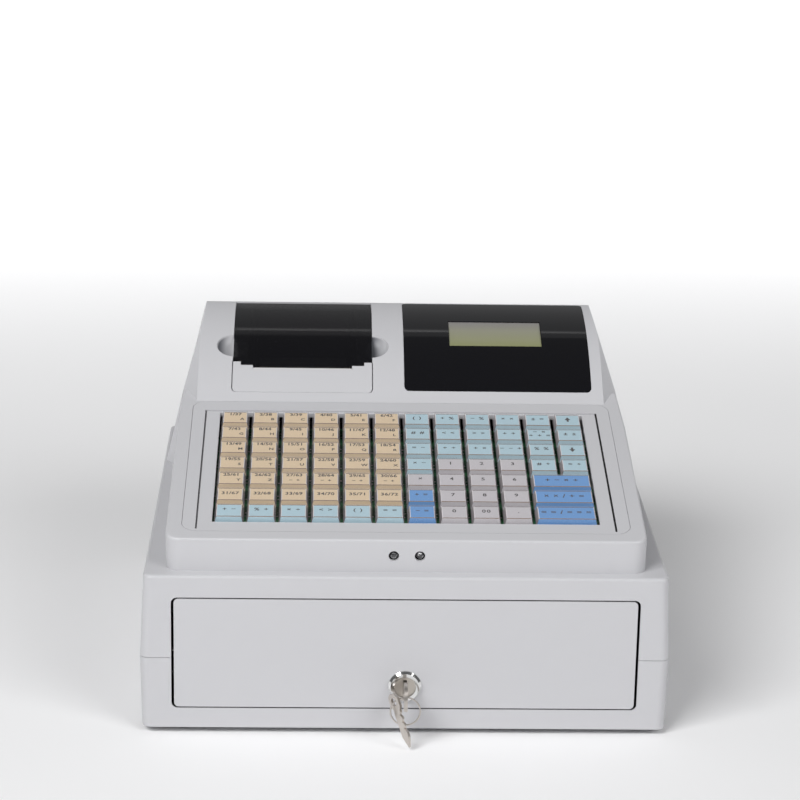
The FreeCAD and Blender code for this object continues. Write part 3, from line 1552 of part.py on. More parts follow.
def case_screws():
    solids = []
    for x, y in screw_places(screw_places_share):
        head = rod_z(screw_head_radius, x, y, z_floor, z_floor + screw_head_height)
        shank = rod_z(screw_radius, x, y, z_floor, z_floor + screw_head_height + screw_length - wall)
        solids.append(joined(head, shank))
    return solids


save("lower_case", lower_case())
save("upper_case", upper_case())
save("keyboard_frame", keyboard_frame())
save("key_deck", key_deck())
save_keys()
save("key_switches", *key_switches())
save("keyboard_board", keyboard_board())
save("indicator_lamps", *indicator_lamps())
save("display_windows", *display_windows())
save("lcd_module", *lcd_module())
save("printer_cover", printer_cover())
save("printer_body", *printer_body())
save("platen_roller", platen_roller())
save("motor_gear", motor_gear())
save("paper_roll", paper_roll())
save("printer_plate", printer_plate())
save("tear_bar", tear_bar())
save("drawer_front", drawer_front())
save("drawer_box", drawer_box())
save("cash_tray", cash_tray())
for number, side in enumerate(("left", "middle", "right")):
    save("bill_clip_" + side, bill_clip(number))
save("drawer_rails", *drawer_rails())
save("drawer_rollers", *drawer_rollers())
save("lock_housing", *lock_housing())
save("lock_plug", lock_plug())
save("lock_cam", lock_cam())
save("lock_key", lock_key())
save("key_ring", key_ring())
save("spare_key", spare_key())
save("equipment_shelf", equipment_shelf())
save("latch_solenoid", latch_solenoid())
save("latch_hook", latch_hook())
save("kick_spring", kick_spring())
save("main_board", main_board())
save("power_supply", power_supply())
save("power_inlet", power_inlet())
save("feet", *feet())
save("case_screws", *case_screws())
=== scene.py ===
import math

import bmesh
import bpy
from mathutils import Matrix, Vector


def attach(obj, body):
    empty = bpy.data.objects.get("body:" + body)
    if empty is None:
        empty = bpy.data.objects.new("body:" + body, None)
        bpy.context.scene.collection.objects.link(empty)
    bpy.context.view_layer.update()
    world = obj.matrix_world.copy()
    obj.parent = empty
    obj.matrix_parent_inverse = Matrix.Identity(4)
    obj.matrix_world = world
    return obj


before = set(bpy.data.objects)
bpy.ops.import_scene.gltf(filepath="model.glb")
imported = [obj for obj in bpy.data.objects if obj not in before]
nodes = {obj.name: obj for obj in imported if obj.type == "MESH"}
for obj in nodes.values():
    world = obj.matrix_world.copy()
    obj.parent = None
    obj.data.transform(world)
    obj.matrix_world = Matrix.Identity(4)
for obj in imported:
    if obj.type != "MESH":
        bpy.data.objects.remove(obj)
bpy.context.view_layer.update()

# Ticket register: finishes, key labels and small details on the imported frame.
# Metres. X to the right, Y to the back, Z up from the counter, as in the frame.
mm = 0.001

# Camera, as the photograph was taken
camera_place = Vector((-51.1, -1568.35, 646.3)) * mm
camera_forward = Vector((0.0300, 0.9559, -0.2922))
camera_up = Vector((-0.0096, 0.2926, 0.9562))
picture_width = 800
focal_pixels = 2636
sensor_width = 36.0
clip_near = 0.05
clip_far = 60.0

# Keyboard plane: its front edge, its tilt, and the grid of keys on it
keyboard_front = Vector((0, -124.05, 119.4)) * mm
keyboard_tilt = math.radians(11.3)
key_pitch = 19.05 * mm
key_rows = 7
key_columns = 12
keys_front_margin = 20.8 * mm
key_rise = 2.2 * mm
key_skirt_drop = 3.4 * mm
key_base_width = 17.6 * mm
key_base_depth = 17.2 * mm
key_top_width = 15.5 * mm
key_top_depth = 14.5 * mm
key_top_shift = 0.65 * mm
# Slot between the key deck and its frame, where painted shade is laid
deck_gap_inner = 123.0 * mm
deck_gap_outer = 124.35 * mm
deck_gap_top = -0.15 * mm
deck_gap_low = -0.6 * mm

# Drawer mouth, and the finger scoops beside the printer cover, with painted shade in the mouth's gap and the
# scoops' hollows
mouth_face = -132.25 * mm
mouth_half_width = 137.4 * mm
mouth_middle = 51.0 * mm
mouth_half_height = 34.8 * mm
gap_front = 0.9 * mm
gap_rear = 11 * mm
gap_side = 2.2 * mm
gap_level = 1.3 * mm
gap_lip = 0.3 * mm
scoop_centres = ((-107.9 * mm, 80.95 * mm, 178.4 * mm), (-18.4 * mm, 80.95 * mm, 178.4 * mm))
# Offsets across each scoop between which its painted shade goes from none to full
scoop_painted_shade_spans = ((-1.5 * mm, -9.5 * mm), (9.0 * mm, 1.5 * mm))
scoop_slope = 0.461
scoop_rim = 10.8 * mm
scoop_floor = 10.2 * mm
scoop_top = -0.2 * mm
scoop_low = -1.2 * mm

# Height of the display between its pane's edges, over which a painted reflection greys it upwards
display_low = 178.5 * mm
display_high = 187.5 * mm

# Tear blade in the slot between the cover and its plate
blade_half = 31.8 * mm
blade_middle = -63.15 * mm
blade_front = 62.1 * mm
blade_rear = 63.55 * mm
blade_front_z = 167.65 * mm
blade_rear_z = 168.6 * mm
blade_teeth = 40
blade_notch_share = 0.62
blade_sheet = 0.3 * mm

# Label carrier inside each clear cap, with its strips of painted highlight and painted shade, and its parts'
# places in the list of materials
cover_side = 0.4 * mm
cover_roof = 0.4 * mm
carrier_foot = 0.3 * mm
carrier_edge = 0.35 * mm
# Depth of the strip of painted shade along the rear of each card's top
rear_shade_strip = 0.75 * mm
hair = 0.01 * mm
ink_lift = 0.02 * mm
card_level = key_rise - cover_roof + ink_lift
side_index, card_index, ink_index, crease_index, rim_highlight_index, rear_shade_index = range(6)

# Legends on the cards: letter heights, places from the card's middle, and letter spacings
preset_text = 4.4 * mm
letter_text = 3.8 * mm
digit_text = 4.8 * mm
symbol_text = 4.6 * mm
wide_text = 5.6 * mm
arrow_size = 4.4 * mm
bold = 0.11 * mm
number_up = 3.9 * mm
letter_up = -2.2 * mm
letter_across = 4.4 * mm
last_row_up = 0.9 * mm
symbol_up = 1.2 * mm
digit_up = 1.0 * mm
wide_up = 0.6 * mm
arrow_up = 0.6 * mm
solid_spacing = 1.0
last_row_spacing = 1.05
wide_spacing = 1.15
digit_spacing = 1.2
symbol_spacing = 1.3

# Stage: half the floor's side, the studio's own light, and the lights in metres, watts and degrees
floor_half = 12.0
world_colour = (0.98, 0.985, 1.0, 1.0)
world_strength = 0.13
lights = {
    "key_light": {"place": (-1.45, -1.85, 2.3), "target": (0, 0, 0.1), "sides": (1.8, 1.4), "power": 77.0},
    "fill_light": {"place": (2.2, -2.4, 2.4), "target": (0, 0, 0.1), "sides": (2.0, 1.6), "power": 58.0},
    "floor_light": {"place": (0, 2.3, 2.0), "target": (0, 2.3, 0), "sides": (4.5, 1.6), "power": 60.0,
                    "spread": 80.0},
    "back_card": {"place": (0, 3.2, 2.45), "target": (0, 0, 2.45), "sides": (8.0, 4.9), "power": 23.0},
}


# Shader maths

class Value:
    """A number or link in a material: sums and products on it add Math nodes."""

    def __init__(self, finish, socket):
        self.finish = finish
        self.socket = socket

    def maths(self, operation, first, second=0.0):
        return self.finish.node("ShaderNodeMath", {"operation": operation}, {0: first, 1: second})

    def __add__(self, other):
        return self.maths("ADD", self, other)

    def __radd__(self, other):
        return self.maths("ADD", other, self)

    def __sub__(self, other):
        return self.maths("SUBTRACT", self, other)

    def __rsub__(self, other):
        return self.maths("SUBTRACT", other, self)

    def __mul__(self, other):
        return self.maths("MULTIPLY", self, other)

    def __rmul__(self, other):
        return self.maths("MULTIPLY", other, self)

    def __gt__(self, other):
        return self.maths("GREATER_THAN", self, other)

    def __lt__(self, other):
        return self.maths("LESS_THAN", self, other)

    def __abs__(self):
        return self.maths("ABSOLUTE", self)


class Finish:
    """One material: a Principled shader, and the nodes that feed it."""

    def __init__(self, name, **sockets):
        self.material = bpy.data.materials.new(name)
        self.material.use_nodes = True
        self.tree = self.material.node_tree
        self.shader = self.tree.nodes["Principled BSDF"]
        self.object_place = None
        self.set(**sockets)

    def set(self, **sockets):
        """Principled sockets by name, with _ for a space."""
        for name, value in sockets.items():
            self.feed(self.shader.inputs[name.replace("_", " ")], value)

    def feed(self, socket, value):
        if isinstance(value, Value):
            self.tree.links.new(value.socket, socket)
        elif socket.type == "RGBA" and len(value) == 3:
            socket.default_value = (*value, 1.0)
        else:
            socket.default_value = value

    def node(self, kind, settings={}, inputs={}, output=0):
        """Adds a node: its settings first, then the values or links of its sockets."""
        node = self.tree.nodes.new(kind)
        for name, value in settings.items():
            if name == "stops":
                ramp = node.color_ramp
                for i, (place, colour) in enumerate(value):
                    stop = ramp.elements[i] if i < 2 else ramp.elements.new(place)
                    stop.position = place
                    stop.color = (*colour, 1.0)
            else:
                setattr(node, name, value)
        for name, value in inputs.items():
            self.feed(node.inputs[name], value)
        return Value(self, node.outputs[output])

    def place(self, scale=(1, 1, 1), turn=(0, 0, 0)):
        """Object coordinates, stretched and turned."""
        if self.object_place is None:
            self.object_place = self.node("ShaderNodeTexCoord", output="Object")
        if scale == (1, 1, 1) and turn == (0, 0, 0):
            return self.object_place
        sockets = {"Vector": self.object_place, "Scale": scale, "Rotation": turn}
        return self.node("ShaderNodeMapping", {}, sockets)

    def noise(self, scale, detail=2.0, rough=0.5, stretch=(1, 1, 1), turn=(0, 0, 0)):
        sockets = {"Vector": self.place(stretch, turn), "Scale": scale, "Detail": detail, "Roughness": rough}
        return self.node("ShaderNodeTexNoise", {}, sockets)

    def axis(self, letter):
        """One coordinate of the place, in metres."""
        return self.node("ShaderNodeSeparateXYZ", {}, {0: self.place()}, output=letter)

    def blend(self, share, first, second):
        return self.node("ShaderNodeMix", {"data_type": "RGBA"}, {0: share, 6: first, 7: second}, output=2)

    def clamp(self, value, low, high, to_low=0.0, to_high=1.0):
        sockets = {0: value, 1: low, 2: high, 3: to_low, 4: to_high}
        return self.node("ShaderNodeMapRange", {"clamp": True}, sockets)

    def relief(self, height, depth, strength=1.0):
        """Bump of a height from 0 to 1, depth metres deep."""
        sockets = {"Strength": strength, "Distance": depth, "Height": height}
        self.set(Normal=self.node("ShaderNodeBump", {}, sockets))


def tone(colour, factor):
    return tuple(min(1.0, c * factor) for c in colour)


# Finishes

def moulded(name, colour, rough=0.45, grain=2600.0, depth=0.00002, mottle=0.03, shade=None, **sockets):
    """Moulded plastic: a fine spark-eroded grain, faint flow marks, uneven gloss, and painted shade in its
    gaps.
    """
    f = Finish(name, **sockets)
    flow = f.noise(26.0, 3.0, 0.6)
    grit = f.noise(grain, 2.0, 0.6)
    fine = f.noise(grain * 0.31, 1.0, 0.5)
    body = f.blend(flow, tone(colour, 1 - mottle), tone(colour, 1 + mottle))
    # Painted shade laid over the plastic's colour where a shade function is given
    for mask, dark in shade(f) if shade else ():
        body = f.blend(mask, body, dark)
    f.set(Base_Color=body, Roughness=rough - 0.06 + flow * 0.08 + grit * 0.06)
    f.relief(grit * 0.6 + fine * 0.4, depth)
    return f.material


def case_gaps(f):
    """Painted shade: near black in the gap round the drawer front, and darker towards the left in the hollows
    of the two finger scoops.
    """
    x, y, z = f.axis("X"), f.axis("Y"), f.axis("Z")
    across = abs(x)
    upright = abs(z - mouth_middle)
    behind = (y > mouth_face + gap_front) * (y < mouth_face + gap_rear)
    edge = f.node("ShaderNodeMath", {"operation": "MAXIMUM"},
                  {0: across > mouth_half_width - gap_side, 1: upright > mouth_half_height - gap_level})
    inside = (across < mouth_half_width + gap_lip) * (upright < mouth_half_height + gap_lip)
    # Painted shade: near black in the gap just behind the drawer front's face
    masks = [(behind * edge * inside, (0.03, 0.03, 0.032))]
    for centre, (pale, dull) in zip(scoop_centres, scoop_painted_shade_spans):
        away = f.node("ShaderNodeVectorMath", {"operation": "DISTANCE"}, {0: f.place(), 1: centre},
                      output="Value")
        deep = f.clamp(away, scoop_rim, scoop_floor) * f.clamp(scoop_plane(z, y), scoop_top, scoop_low)
        # Painted shade in each scoop's hollow, darker towards its left
        side = f.clamp(x - centre[0], pale, dull)
        masks.append((deep * side * 0.85, (0.055, 0.06, 0.075)))
    return masks


def scoop_plane(z, y):
    """Height over the head's slope at the scoops, upright."""
    return z - scoop_centres[0][2] - (y - scoop_centres[0][1]) * scoop_slope


def deck_gap(f):
    """Painted shade in the slot between the key deck and its frame: deep at the right, faint at the left."""
    x = f.axis("X")
    height = f.axis("Z") - keyboard_front[2] - (f.axis("Y") - keyboard_front[1]) * math.tan(keyboard_tilt)
    low = f.clamp(height, deck_gap_top, deck_gap_low)
    right = (x > deck_gap_inner) * (x < deck_gap_outer)
    left = (x < -deck_gap_inner) * (x > -deck_gap_outer)
    # Painted shade: near black at the right, half strength at the left
    return [(right * low * 0.97, (0.015, 0.015, 0.015)), (left * low * 0.5, (0.1, 0.1, 0.1))]


def polished(name, colour, rough=0.08, **sockets):
    """Polished plastic: smooth, with a slight waviness and faint wiping marks."""
    f = Finish(name, **sockets)
    wave = f.noise(60.0, 2.0, 0.5)
    wipe = f.noise(180.0, 3.0, 0.6, stretch=(1, 6, 1))
    f.set(Base_Color=f.blend(wave, tone(colour, 0.94), tone(colour, 1.06)),
          Roughness=rough * 0.7 + wipe * rough * 0.6)
    f.relief(wave, 0.00002, 0.4)
    return f.material


def metal(name, colour, rough=0.3, stretch=(1, 1, 30), scale=500.0, depth=0.000006, **sockets):
    """Rolled or ground metal: fine lines one way, cloudy tone and uneven polish."""
    f = Finish(name, Metallic=1.0, **sockets)
    line = f.noise(scale, 3.0, 0.6, stretch=stretch)
    cloud = f.noise(45.0, 3.0, 0.6)
    f.set(Base_Color=f.blend(cloud, tone(colour, 0.9), tone(colour, 1.08)),
          Roughness=rough - 0.08 + line * 0.12 + cloud * 0.08)
    f.relief(line, depth)
    return f.material


def plated(name, colour, rough=0.06):
    """Bright plating: nearly a mirror, with pits and a little haze."""
    f = Finish(name, Metallic=1.0)
    haze = f.noise(300.0, 3.0, 0.7)
    pit = f.noise(2500.0, 1.0, 0.5)
    f.set(Base_Color=f.blend(haze, tone(colour, 0.96), tone(colour, 1.04)), Roughness=rough + haze * 0.08)
    f.relief(pit, 0.000002)
    return f.material


def spangled(name, colour, rough=0.35):
    """Zinc coat: patches of slightly different tone and gloss."""
    f = Finish(name, Metallic=1.0)
    patch = f.node("ShaderNodeTexVoronoi", {}, {"Vector": f.place(), "Scale": 260.0}, output="Color")
    share = f.node("ShaderNodeSeparateXYZ", {}, {0: patch})
    cloud = f.noise(700.0, 2.0, 0.6)
    f.set(Base_Color=f.blend(share, tone(colour, 0.86), tone(colour, 1.1)),
          Roughness=rough - 0.05 + share * 0.1 + cloud * 0.06)
    f.relief(cloud, 0.000004)
    return f.material


def coated(name, colour, rough=0.5):
    """Stoved paint on sheet steel: a light orange-peel."""
    f = Finish(name)
    peel = f.noise(900.0, 2.0, 0.5)
    cloud = f.noise(20.0, 2.0, 0.5)
    scuff = f.clamp(f.noise(240.0, 4.0, 0.7, stretch=(1, 0.15, 1)), 0.62, 0.7)
    paint = f.blend(cloud, tone(colour, 0.95), tone(colour, 1.05))
    f.set(Base_Color=f.blend(scuff * 0.35, paint, tone(colour, 1.5)), Roughness=rough - 0.05 + peel * 0.12)
    f.relief(peel, 0.00002)
    return f.material


def rubber(name, colour):
    """Dull rubber with dust on it."""
    f = Finish(name)
    dust = f.noise(120.0, 4.0, 0.7)
    dusty = f.clamp(dust, 0.45, 0.75)
    f.set(Base_Color=f.blend(dusty, colour, tone(colour, 2.2)), Roughness=0.7 + dust * 0.2)
    f.relief(f.noise(1800.0, 2.0, 0.6), 0.00003)
    return f.material


def circuit_board():
    """Green lacquer over copper tracks, with rows of tinned holes."""
    f = Finish("circuit_board", Coat_Weight=0.3, Coat_Roughness=0.2)
    tracks = f.node("ShaderNodeTexBrick", {"offset": 0.37}, {"Vector": f.place((1, 1, 1)), "Scale": 110.0,
                    "Mortar Size": 0.03, "Color1": (0.02, 0.13, 0.05), "Color2": (0.03, 0.17, 0.07),
                    "Mortar": (0.06, 0.27, 0.10)})
    dots = f.node("ShaderNodeTexVoronoi", {}, {"Vector": f.place(), "Scale": 260.0, "Randomness": 0.15})
    tin = dots < 0.16
    f.set(Base_Color=f.blend(tin, tracks, (0.6, 0.6, 0.58)), Metallic=tin * 0.8, Roughness=0.38 - tin * 0.1)
    f.relief(tin, 0.00005)
    return f.material


def receipt_paper():
    """Thermal paper: smooth sheet, and the fine rings of its turns on the roll's ends."""
    f = Finish("receipt_paper", Roughness=0.8)
    fibre = f.noise(1500.0, 4.0, 0.7)
    turns = f.node("ShaderNodeTexWave", {"wave_type": "RINGS", "rings_direction": "X"},
                   {"Vector": f.place(), "Scale": 900.0, "Distortion": 0.4})
    f.set(Base_Color=f.blend(fibre * 0.5 + f.clamp(turns, 0, 1) * 0.2, (0.86, 0.86, 0.84), (0.72, 0.72, 0.7)))
    f.relief(fibre, 0.00001)
    return f.material


def clear_cap():
    """Clear key cover: glossy and see-through from above, milky where its side walls are seen edge-on."""
    f = Finish("clear_cap", Base_Color=(0.72, 0.68, 0.70), IOR=1.49)
    wipe = f.noise(400.0, 2.0, 0.5)
    normal = f.node("ShaderNodeTexCoord", output="Normal")
    sideways = f.node("ShaderNodeSeparateXYZ", {}, {0: normal}, output="X")
    f.set(Roughness=0.08 + wipe * 0.06, Alpha=0.1 + f.clamp(abs(sideways), 0.5, 0.8) * 0.5 + wipe * 0.04)
    f.relief(f.noise(150.0, 1.0, 0.5), 0.00002, 0.3)
    return f.material


def smoked_window(name, alpha):
    """Nearly black smoked plastic with a hard, even gloss, and a few specks of dust."""
    f = Finish(name, IOR=1.45)
    wave = f.noise(14.0, 1.0, 0.5)
    speck = f.clamp(f.noise(1600.0, 2.0, 0.7), 0.72, 0.78)
    f.set(Base_Color=f.blend(speck * 0.25, (0.0045, 0.0045, 0.006), (0.03, 0.03, 0.03)),
          Roughness=0.05 + wave * 0.04, Alpha=alpha + speck * (1 - alpha) if alpha < 1 else alpha)
    f.relief(wave, 0.00003, 0.25)
    return f.material


def display_glass():
    """Display under its pane: olive near the lower edge, greyer above from a painted reflection, with a fine
    grid of cells.
    """
    f = Finish("display_glass", IOR=1.5, Coat_Weight=0.6, Coat_Roughness=0.04)
    height = f.clamp(f.axis("Z"), display_low, display_high)
    # Olive display colour, turned greyer upwards by a painted reflection
    stops = ((0.0, (0.235, 0.25, 0.095)), (0.3, (0.255, 0.262, 0.145)),
             (0.65, (0.25, 0.25, 0.185)), (1.0, (0.19, 0.18, 0.185)))
    painted_reflection_tint = f.node("ShaderNodeValToRGB", {"stops": stops}, {0: height})
    sockets = {"Vector": f.place(), "Scale": 330.0, "Mortar Size": 0.08, "Color1": (1.0, 1.0, 1.0),
               "Color2": (0.97, 0.97, 0.96), "Mortar": (1.05, 1.05, 1.05)}
    cell = f.node("ShaderNodeTexBrick", {"offset": 0.0}, sockets)
    cloud = f.noise(60.0, 2.0, 0.5)
    shade = f.node("ShaderNodeMix", {"data_type": "RGBA", "blend_type": "MULTIPLY"},
                   {0: 1.0, 6: painted_reflection_tint, 7: cell}, output=2)
    f.set(Base_Color=f.blend(cloud * 0.25, shade, (0.30, 0.29, 0.22)), Roughness=0.2 + cloud * 0.1)
    return f.material


def lamp_plastic():
    """Clear lamp dome over its dark metal cup: glossy, uneven, with a painted highlight in the middle."""
    f = Finish("lamp_plastic", IOR=1.5, Coat_Weight=1.0, Coat_Roughness=0.03)
    cloud = f.noise(900.0, 2.0, 0.5)
    # Painted highlight: a bright, more metallic patch on the dark dome
    painted_glint = f.clamp(f.noise(420.0, 1.0, 0.5), 0.5, 0.56)
    f.set(Base_Color=f.blend(painted_glint, (0.05, 0.05, 0.055), (0.55, 0.55, 0.56)), Metallic=0.3 + painted_glint * 0.5,
          Roughness=0.12 + cloud * 0.1)
    f.relief(cloud, 0.0001, 0.5)
    return f.material


def label_card(name, colour):
    """Printed card under the clear cap: flat, with a faint fibre."""
    f = Finish(name, Roughness=0.42, Coat_Weight=0.25, Coat_Roughness=0.12)
    fibre = f.noise(1400.0, 3.0, 0.6)
    cloud = f.noise(70.0, 2.0, 0.5)
    f.set(Base_Color=f.blend(fibre * 0.4 + cloud * 0.6, tone(colour, 0.94), tone(colour, 1.06)))
    f.relief(fibre, 0.000006)
    return f.material


card_colours = {
    "cream_keys": (0.73, 0.57, 0.37),
    "pale_blue_keys": (0.43, 0.61, 0.69),
    "grey_keys": (0.56, 0.54, 0.565),
    "blue_keys": (0.10, 0.31, 0.66),
}
finishes = {
    "case_plastic": moulded("case_plastic", (0.555, 0.555, 0.575), 0.42, 2400.0, 0.000022, 0.012, case_gaps),
    "frame_plastic": moulded("frame_plastic", (0.56, 0.56, 0.58), 0.38, 3200.0, 0.000012, 0.012, deck_gap),
    "switch_plastic": moulded("switch_plastic", (0.035, 0.033, 0.034), 0.5),
    "circuit_board": circuit_board(),
    "lamp_plastic": lamp_plastic(),
    "smoked_plastic": smoked_window("smoked_plastic", 1.0),
    "display_glass": display_glass(),
    "black_plastic": moulded("black_plastic", (0.022, 0.022, 0.024), 0.5, 2000.0, 0.00004, 0.1),
    "platen_rubber": rubber("platen_rubber", (0.02, 0.02, 0.02)),
    "gear_plastic": polished("gear_plastic", (0.70, 0.68, 0.62), 0.35),
    "receipt_paper": receipt_paper(),
    "steel": metal("steel", (0.55, 0.55, 0.56), 0.3),
    "drawer_steel": coated("drawer_steel", (0.30, 0.31, 0.33)),
    "zinc_steel": spangled("zinc_steel", (0.56, 0.56, 0.55)),
    "roller_plastic": polished("roller_plastic", (0.72, 0.72, 0.69), 0.3),
    "chrome": plated("chrome", (0.80, 0.80, 0.79)),
    "nickel": metal("nickel", (0.60, 0.56, 0.51), 0.34, (8, 1, 1), 400.0, 0.00001),
    "key_steel": metal("key_steel", (0.58, 0.54, 0.50), 0.32, (1, 1, 6), 500.0, 0.000008),
    "spring_steel": metal("spring_steel", (0.33, 0.34, 0.37), 0.28, (30, 1, 1)),
    "supply_steel": spangled("supply_steel", (0.5, 0.5, 0.5), 0.32),
    "foot_rubber": rubber("foot_rubber", (0.03, 0.03, 0.03)),
    "clip_plastic": moulded("clip_plastic", (0.03, 0.03, 0.033), 0.45, 1800.0, 0.00003, 0.1),
}
clear = clear_cap()
for slot in card_colours:
    finishes[slot] = clear
# Dark carrier plastic, dark enough to serve also as painted shade in the gaps between keys
carrier_plastic_and_shade = polished("carrier_plastic_and_shade", (0.13, 0.105, 0.105), 0.3)
blade_paint = coated("blade_paint", (0.62, 0.61, 0.61), 0.45)
# Painted highlight along the side edges of each card's top
cap_rim_highlight = polished("cap_rim_highlight", (0.86, 0.83, 0.84), 0.15)
# Painted shade where each row's top meets the key behind it
rear_painted_shade = polished("rear_painted_shade", (0.10, 0.075, 0.06), 0.3)
cover_smoke = smoked_window("cover_smoke", 0.8)
ink = moulded("ink", (0.03, 0.026, 0.026), 0.55, 2000.0, 0.000004, 0.2)
crease_line = polished("crease_line", (0.21, 0.15, 0.11), 0.35)
cards = {slot: label_card("card_" + slot, colour) for slot, colour in card_colours.items()}
slot_of = {}
for name, node in nodes.items():
    for holder in node.material_slots:
        slot_of[name] = holder.material.name.split(".")[0]
        holder.material = cover_smoke if name == "printer_cover" else finishes[slot_of[name]]


# Pieces

def finish_piece(name, bm, body, materials):
    """Makes the object of a finished bmesh, riding on its body."""
    mesh = bpy.data.meshes.new(name)
    bm.to_mesh(mesh)
    bm.free()
    for material in materials:
        mesh.materials.append(material)
    for polygon in mesh.polygons:
        polygon.use_smooth = False
    piece = bpy.data.objects.new(name, mesh)
    bpy.context.scene.collection.objects.link(piece)
    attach(piece, body)
    return piece


def on_keyboard(u, v, w):
    """From a key's own place to the object: u across, v up the slope, w out of it."""
    return (Matrix.Translation(keyboard_front) @ Matrix.Rotation(keyboard_tilt, 4, "X")
            @ Matrix.Translation((u, v, w)))


def key_centre(row, column):
    """Middle of a place of the key grid, across and up the slope."""
    u = (column - (key_columns + 1) / 2) * key_pitch
    v = keys_front_margin + (key_rows - row + 0.5) * key_pitch
    return u, v


def flat_text(words, size, spacing):
    """A mesh of level text, centred on the origin."""
    curve = bpy.data.curves.new("words", "FONT")
    curve.body = words
    curve.size = size
    curve.align_x = "CENTER"
    curve.align_y = "CENTER"
    curve.resolution_u = 2
    curve.offset = bold
    curve.space_character = spacing
    holder = bpy.data.objects.new("words", curve)
    bpy.context.scene.collection.objects.link(holder)
    bpy.context.view_layer.update()
    mesh = bpy.data.meshes.new_from_object(holder.evaluated_get(bpy.context.evaluated_depsgraph_get()))
    bpy.data.objects.remove(holder)
    bpy.data.curves.remove(curve)
    return mesh


def add_text(bm, words, size, place, spacing):
    """Prints words in ink at a place."""
    mesh = flat_text(words, size, spacing)
    mesh.transform(place)
    before = set(bm.faces)
    bm.from_mesh(mesh)
    for face in set(bm.faces) - before:
        face.material_index = ink_index
    bpy.data.meshes.remove(mesh)


def add_arrow(bm, size, place, up):
    """A small arrow: a triangle with a stem."""
    turn = Matrix.Rotation(0 if up else math.pi, 4, "Z")
    before = set(bm.faces)
    made = bmesh.ops.create_circle(bm, cap_ends=True, radius=size * 0.5, segments=3)
    bmesh.ops.transform(bm, matrix=place @ turn @ Matrix.Translation((0, size * 0.2, 0)), verts=made["verts"])
    made = bmesh.ops.create_grid(bm, x_segments=1, y_segments=1, size=size * 0.5)
    bmesh.ops.transform(bm, matrix=place @ turn @ Matrix.Translation((0, -size * 0.3, 0))
                        @ Matrix.Diagonal((0.3, 0.5, 1, 1)), verts=made["verts"])
    for face in set(bm.faces) - before:
        face.material_index = ink_index


def add_carrier(bm, place, cells):
    """The coloured card and its carrier, seen through the clear cap: sloping sides and a bevelled top."""
    extra = (cells - 1) * key_pitch
    before = set(bm.faces)
    low = carrier_foot - key_skirt_drop
    high = key_rise - cover_roof
    made = bmesh.ops.create_cube(bm, size=1.0)
    corners = made["verts"]
    for corner in corners:
        top = corner.co.z > 0
        width = (key_top_width if top else key_base_width) + extra - 2 * cover_side
        depth = (key_top_depth if top else key_base_depth) - 2 * cover_side
        corner.co = Vector((corner.co.x * width, corner.co.y * depth - (key_top_shift if top else 0),
                            high if top else low))
    bm.normal_update()
    faces = [face for face in bm.faces if face not in before]
    for face in faces:
        face.material_index = card_index if face.normal.z > 0.5 or face.normal.y < -0.5 else side_index
    bmesh.ops.delete(bm, geom=[face for face in faces if face.normal.z < -0.5], context="FACES_ONLY")
    rim = [edge for edge in bm.edges if edge.is_valid and all(v in corners for v in edge.verts)
           and all(v.co.z > high - hair for v in edge.verts)]
    made = bmesh.ops.bevel(bm, geom=rim, affect="EDGES", offset=carrier_edge, segments=1, profile=0.5,
                           material=-1)
    for face in made["faces"]:
        face.normal_update()
        # Front bevels take the crease colour, side bevels a painted highlight
        if face.normal.y < -0.25 and face.normal.z > 0.25:
            face.material_index = crease_index
        elif abs(face.normal.x) > 0.25 and face.normal.z > 0.25:
            face.material_index = rim_highlight_index
    new = [face for face in bm.faces if face not in before]
    geom = new + list({e for f in new for e in f.edges}) + list({v for f in new for v in f.verts})
    # A strip along the rear of the top is split off for painted shade
    split = key_top_depth / 2 - cover_side - key_top_shift - rear_shade_strip
    bmesh.ops.bisect_plane(bm, geom=geom, plane_co=(0, split, 0), plane_no=(0, 1, 0))
    for face in bm.faces:
        if face not in before and face.normal.z > 0.9 and face.calc_center_median().y > split:
            face.material_index = rear_shade_index
    verts = {v for face in bm.faces if face not in before for v in face.verts}
    bmesh.ops.transform(bm, matrix=place, verts=list(verts))


preset_rows = range(1, 7)
preset_columns = range(1, 7)
front_row = 7
function_rows = range(1, 4)
function_columns = range(7, 13)
number_row = 4
number_column = 8
wide_column = 11.5
preset_count = len(preset_rows) * len(preset_columns)
pair_symbols = {
    (7, 1): "+ −", (7, 2): "% +", (7, 3): "× ÷", (7, 4): "< >", (7, 5): "( )", (7, 6): "= =",
    (1, 7): "( )", (1, 8): "+ %", (1, 9): "− %", (1, 10): "× ×", (1, 11): "± =",
    (2, 7): "# #", (2, 8): "< <", (2, 9): "> >", (2, 10): "+ +", (2, 11): "− ×\n÷ + =", (2, 12): "± ±",
    (3, 7): "= −", (3, 8): "÷ ÷", (3, 9): "+ ×", (3, 10): "− − +", (3, 11): "% %",
    (4, 7): "× −", (4, 11): "# +", (4, 12): "= +",
}
single_symbols = {
    "quantity_key": (5, 7, "×"), "blue_key_back": (6, 7, "+ ="), "blue_key_front": (7, 7, "− ="),
    "number_key_0": (7, 8, "0"), "number_key_00": (7, 9, "00"), "number_key_point": (7, 10, "."),
}
for i in range(9):
    single_symbols["number_key_" + str(i + 1)] = (number_row + i // 3, number_column + i % 3, str(i + 1))
wide_symbols = {
    "wide_key_1": (5, "+ − × ÷"), "wide_key_2": (6, "× × / + ="), "wide_key_3": (7, "= = / = = ="),
}
arrows = {(1, 12): True, (3, 12): False}


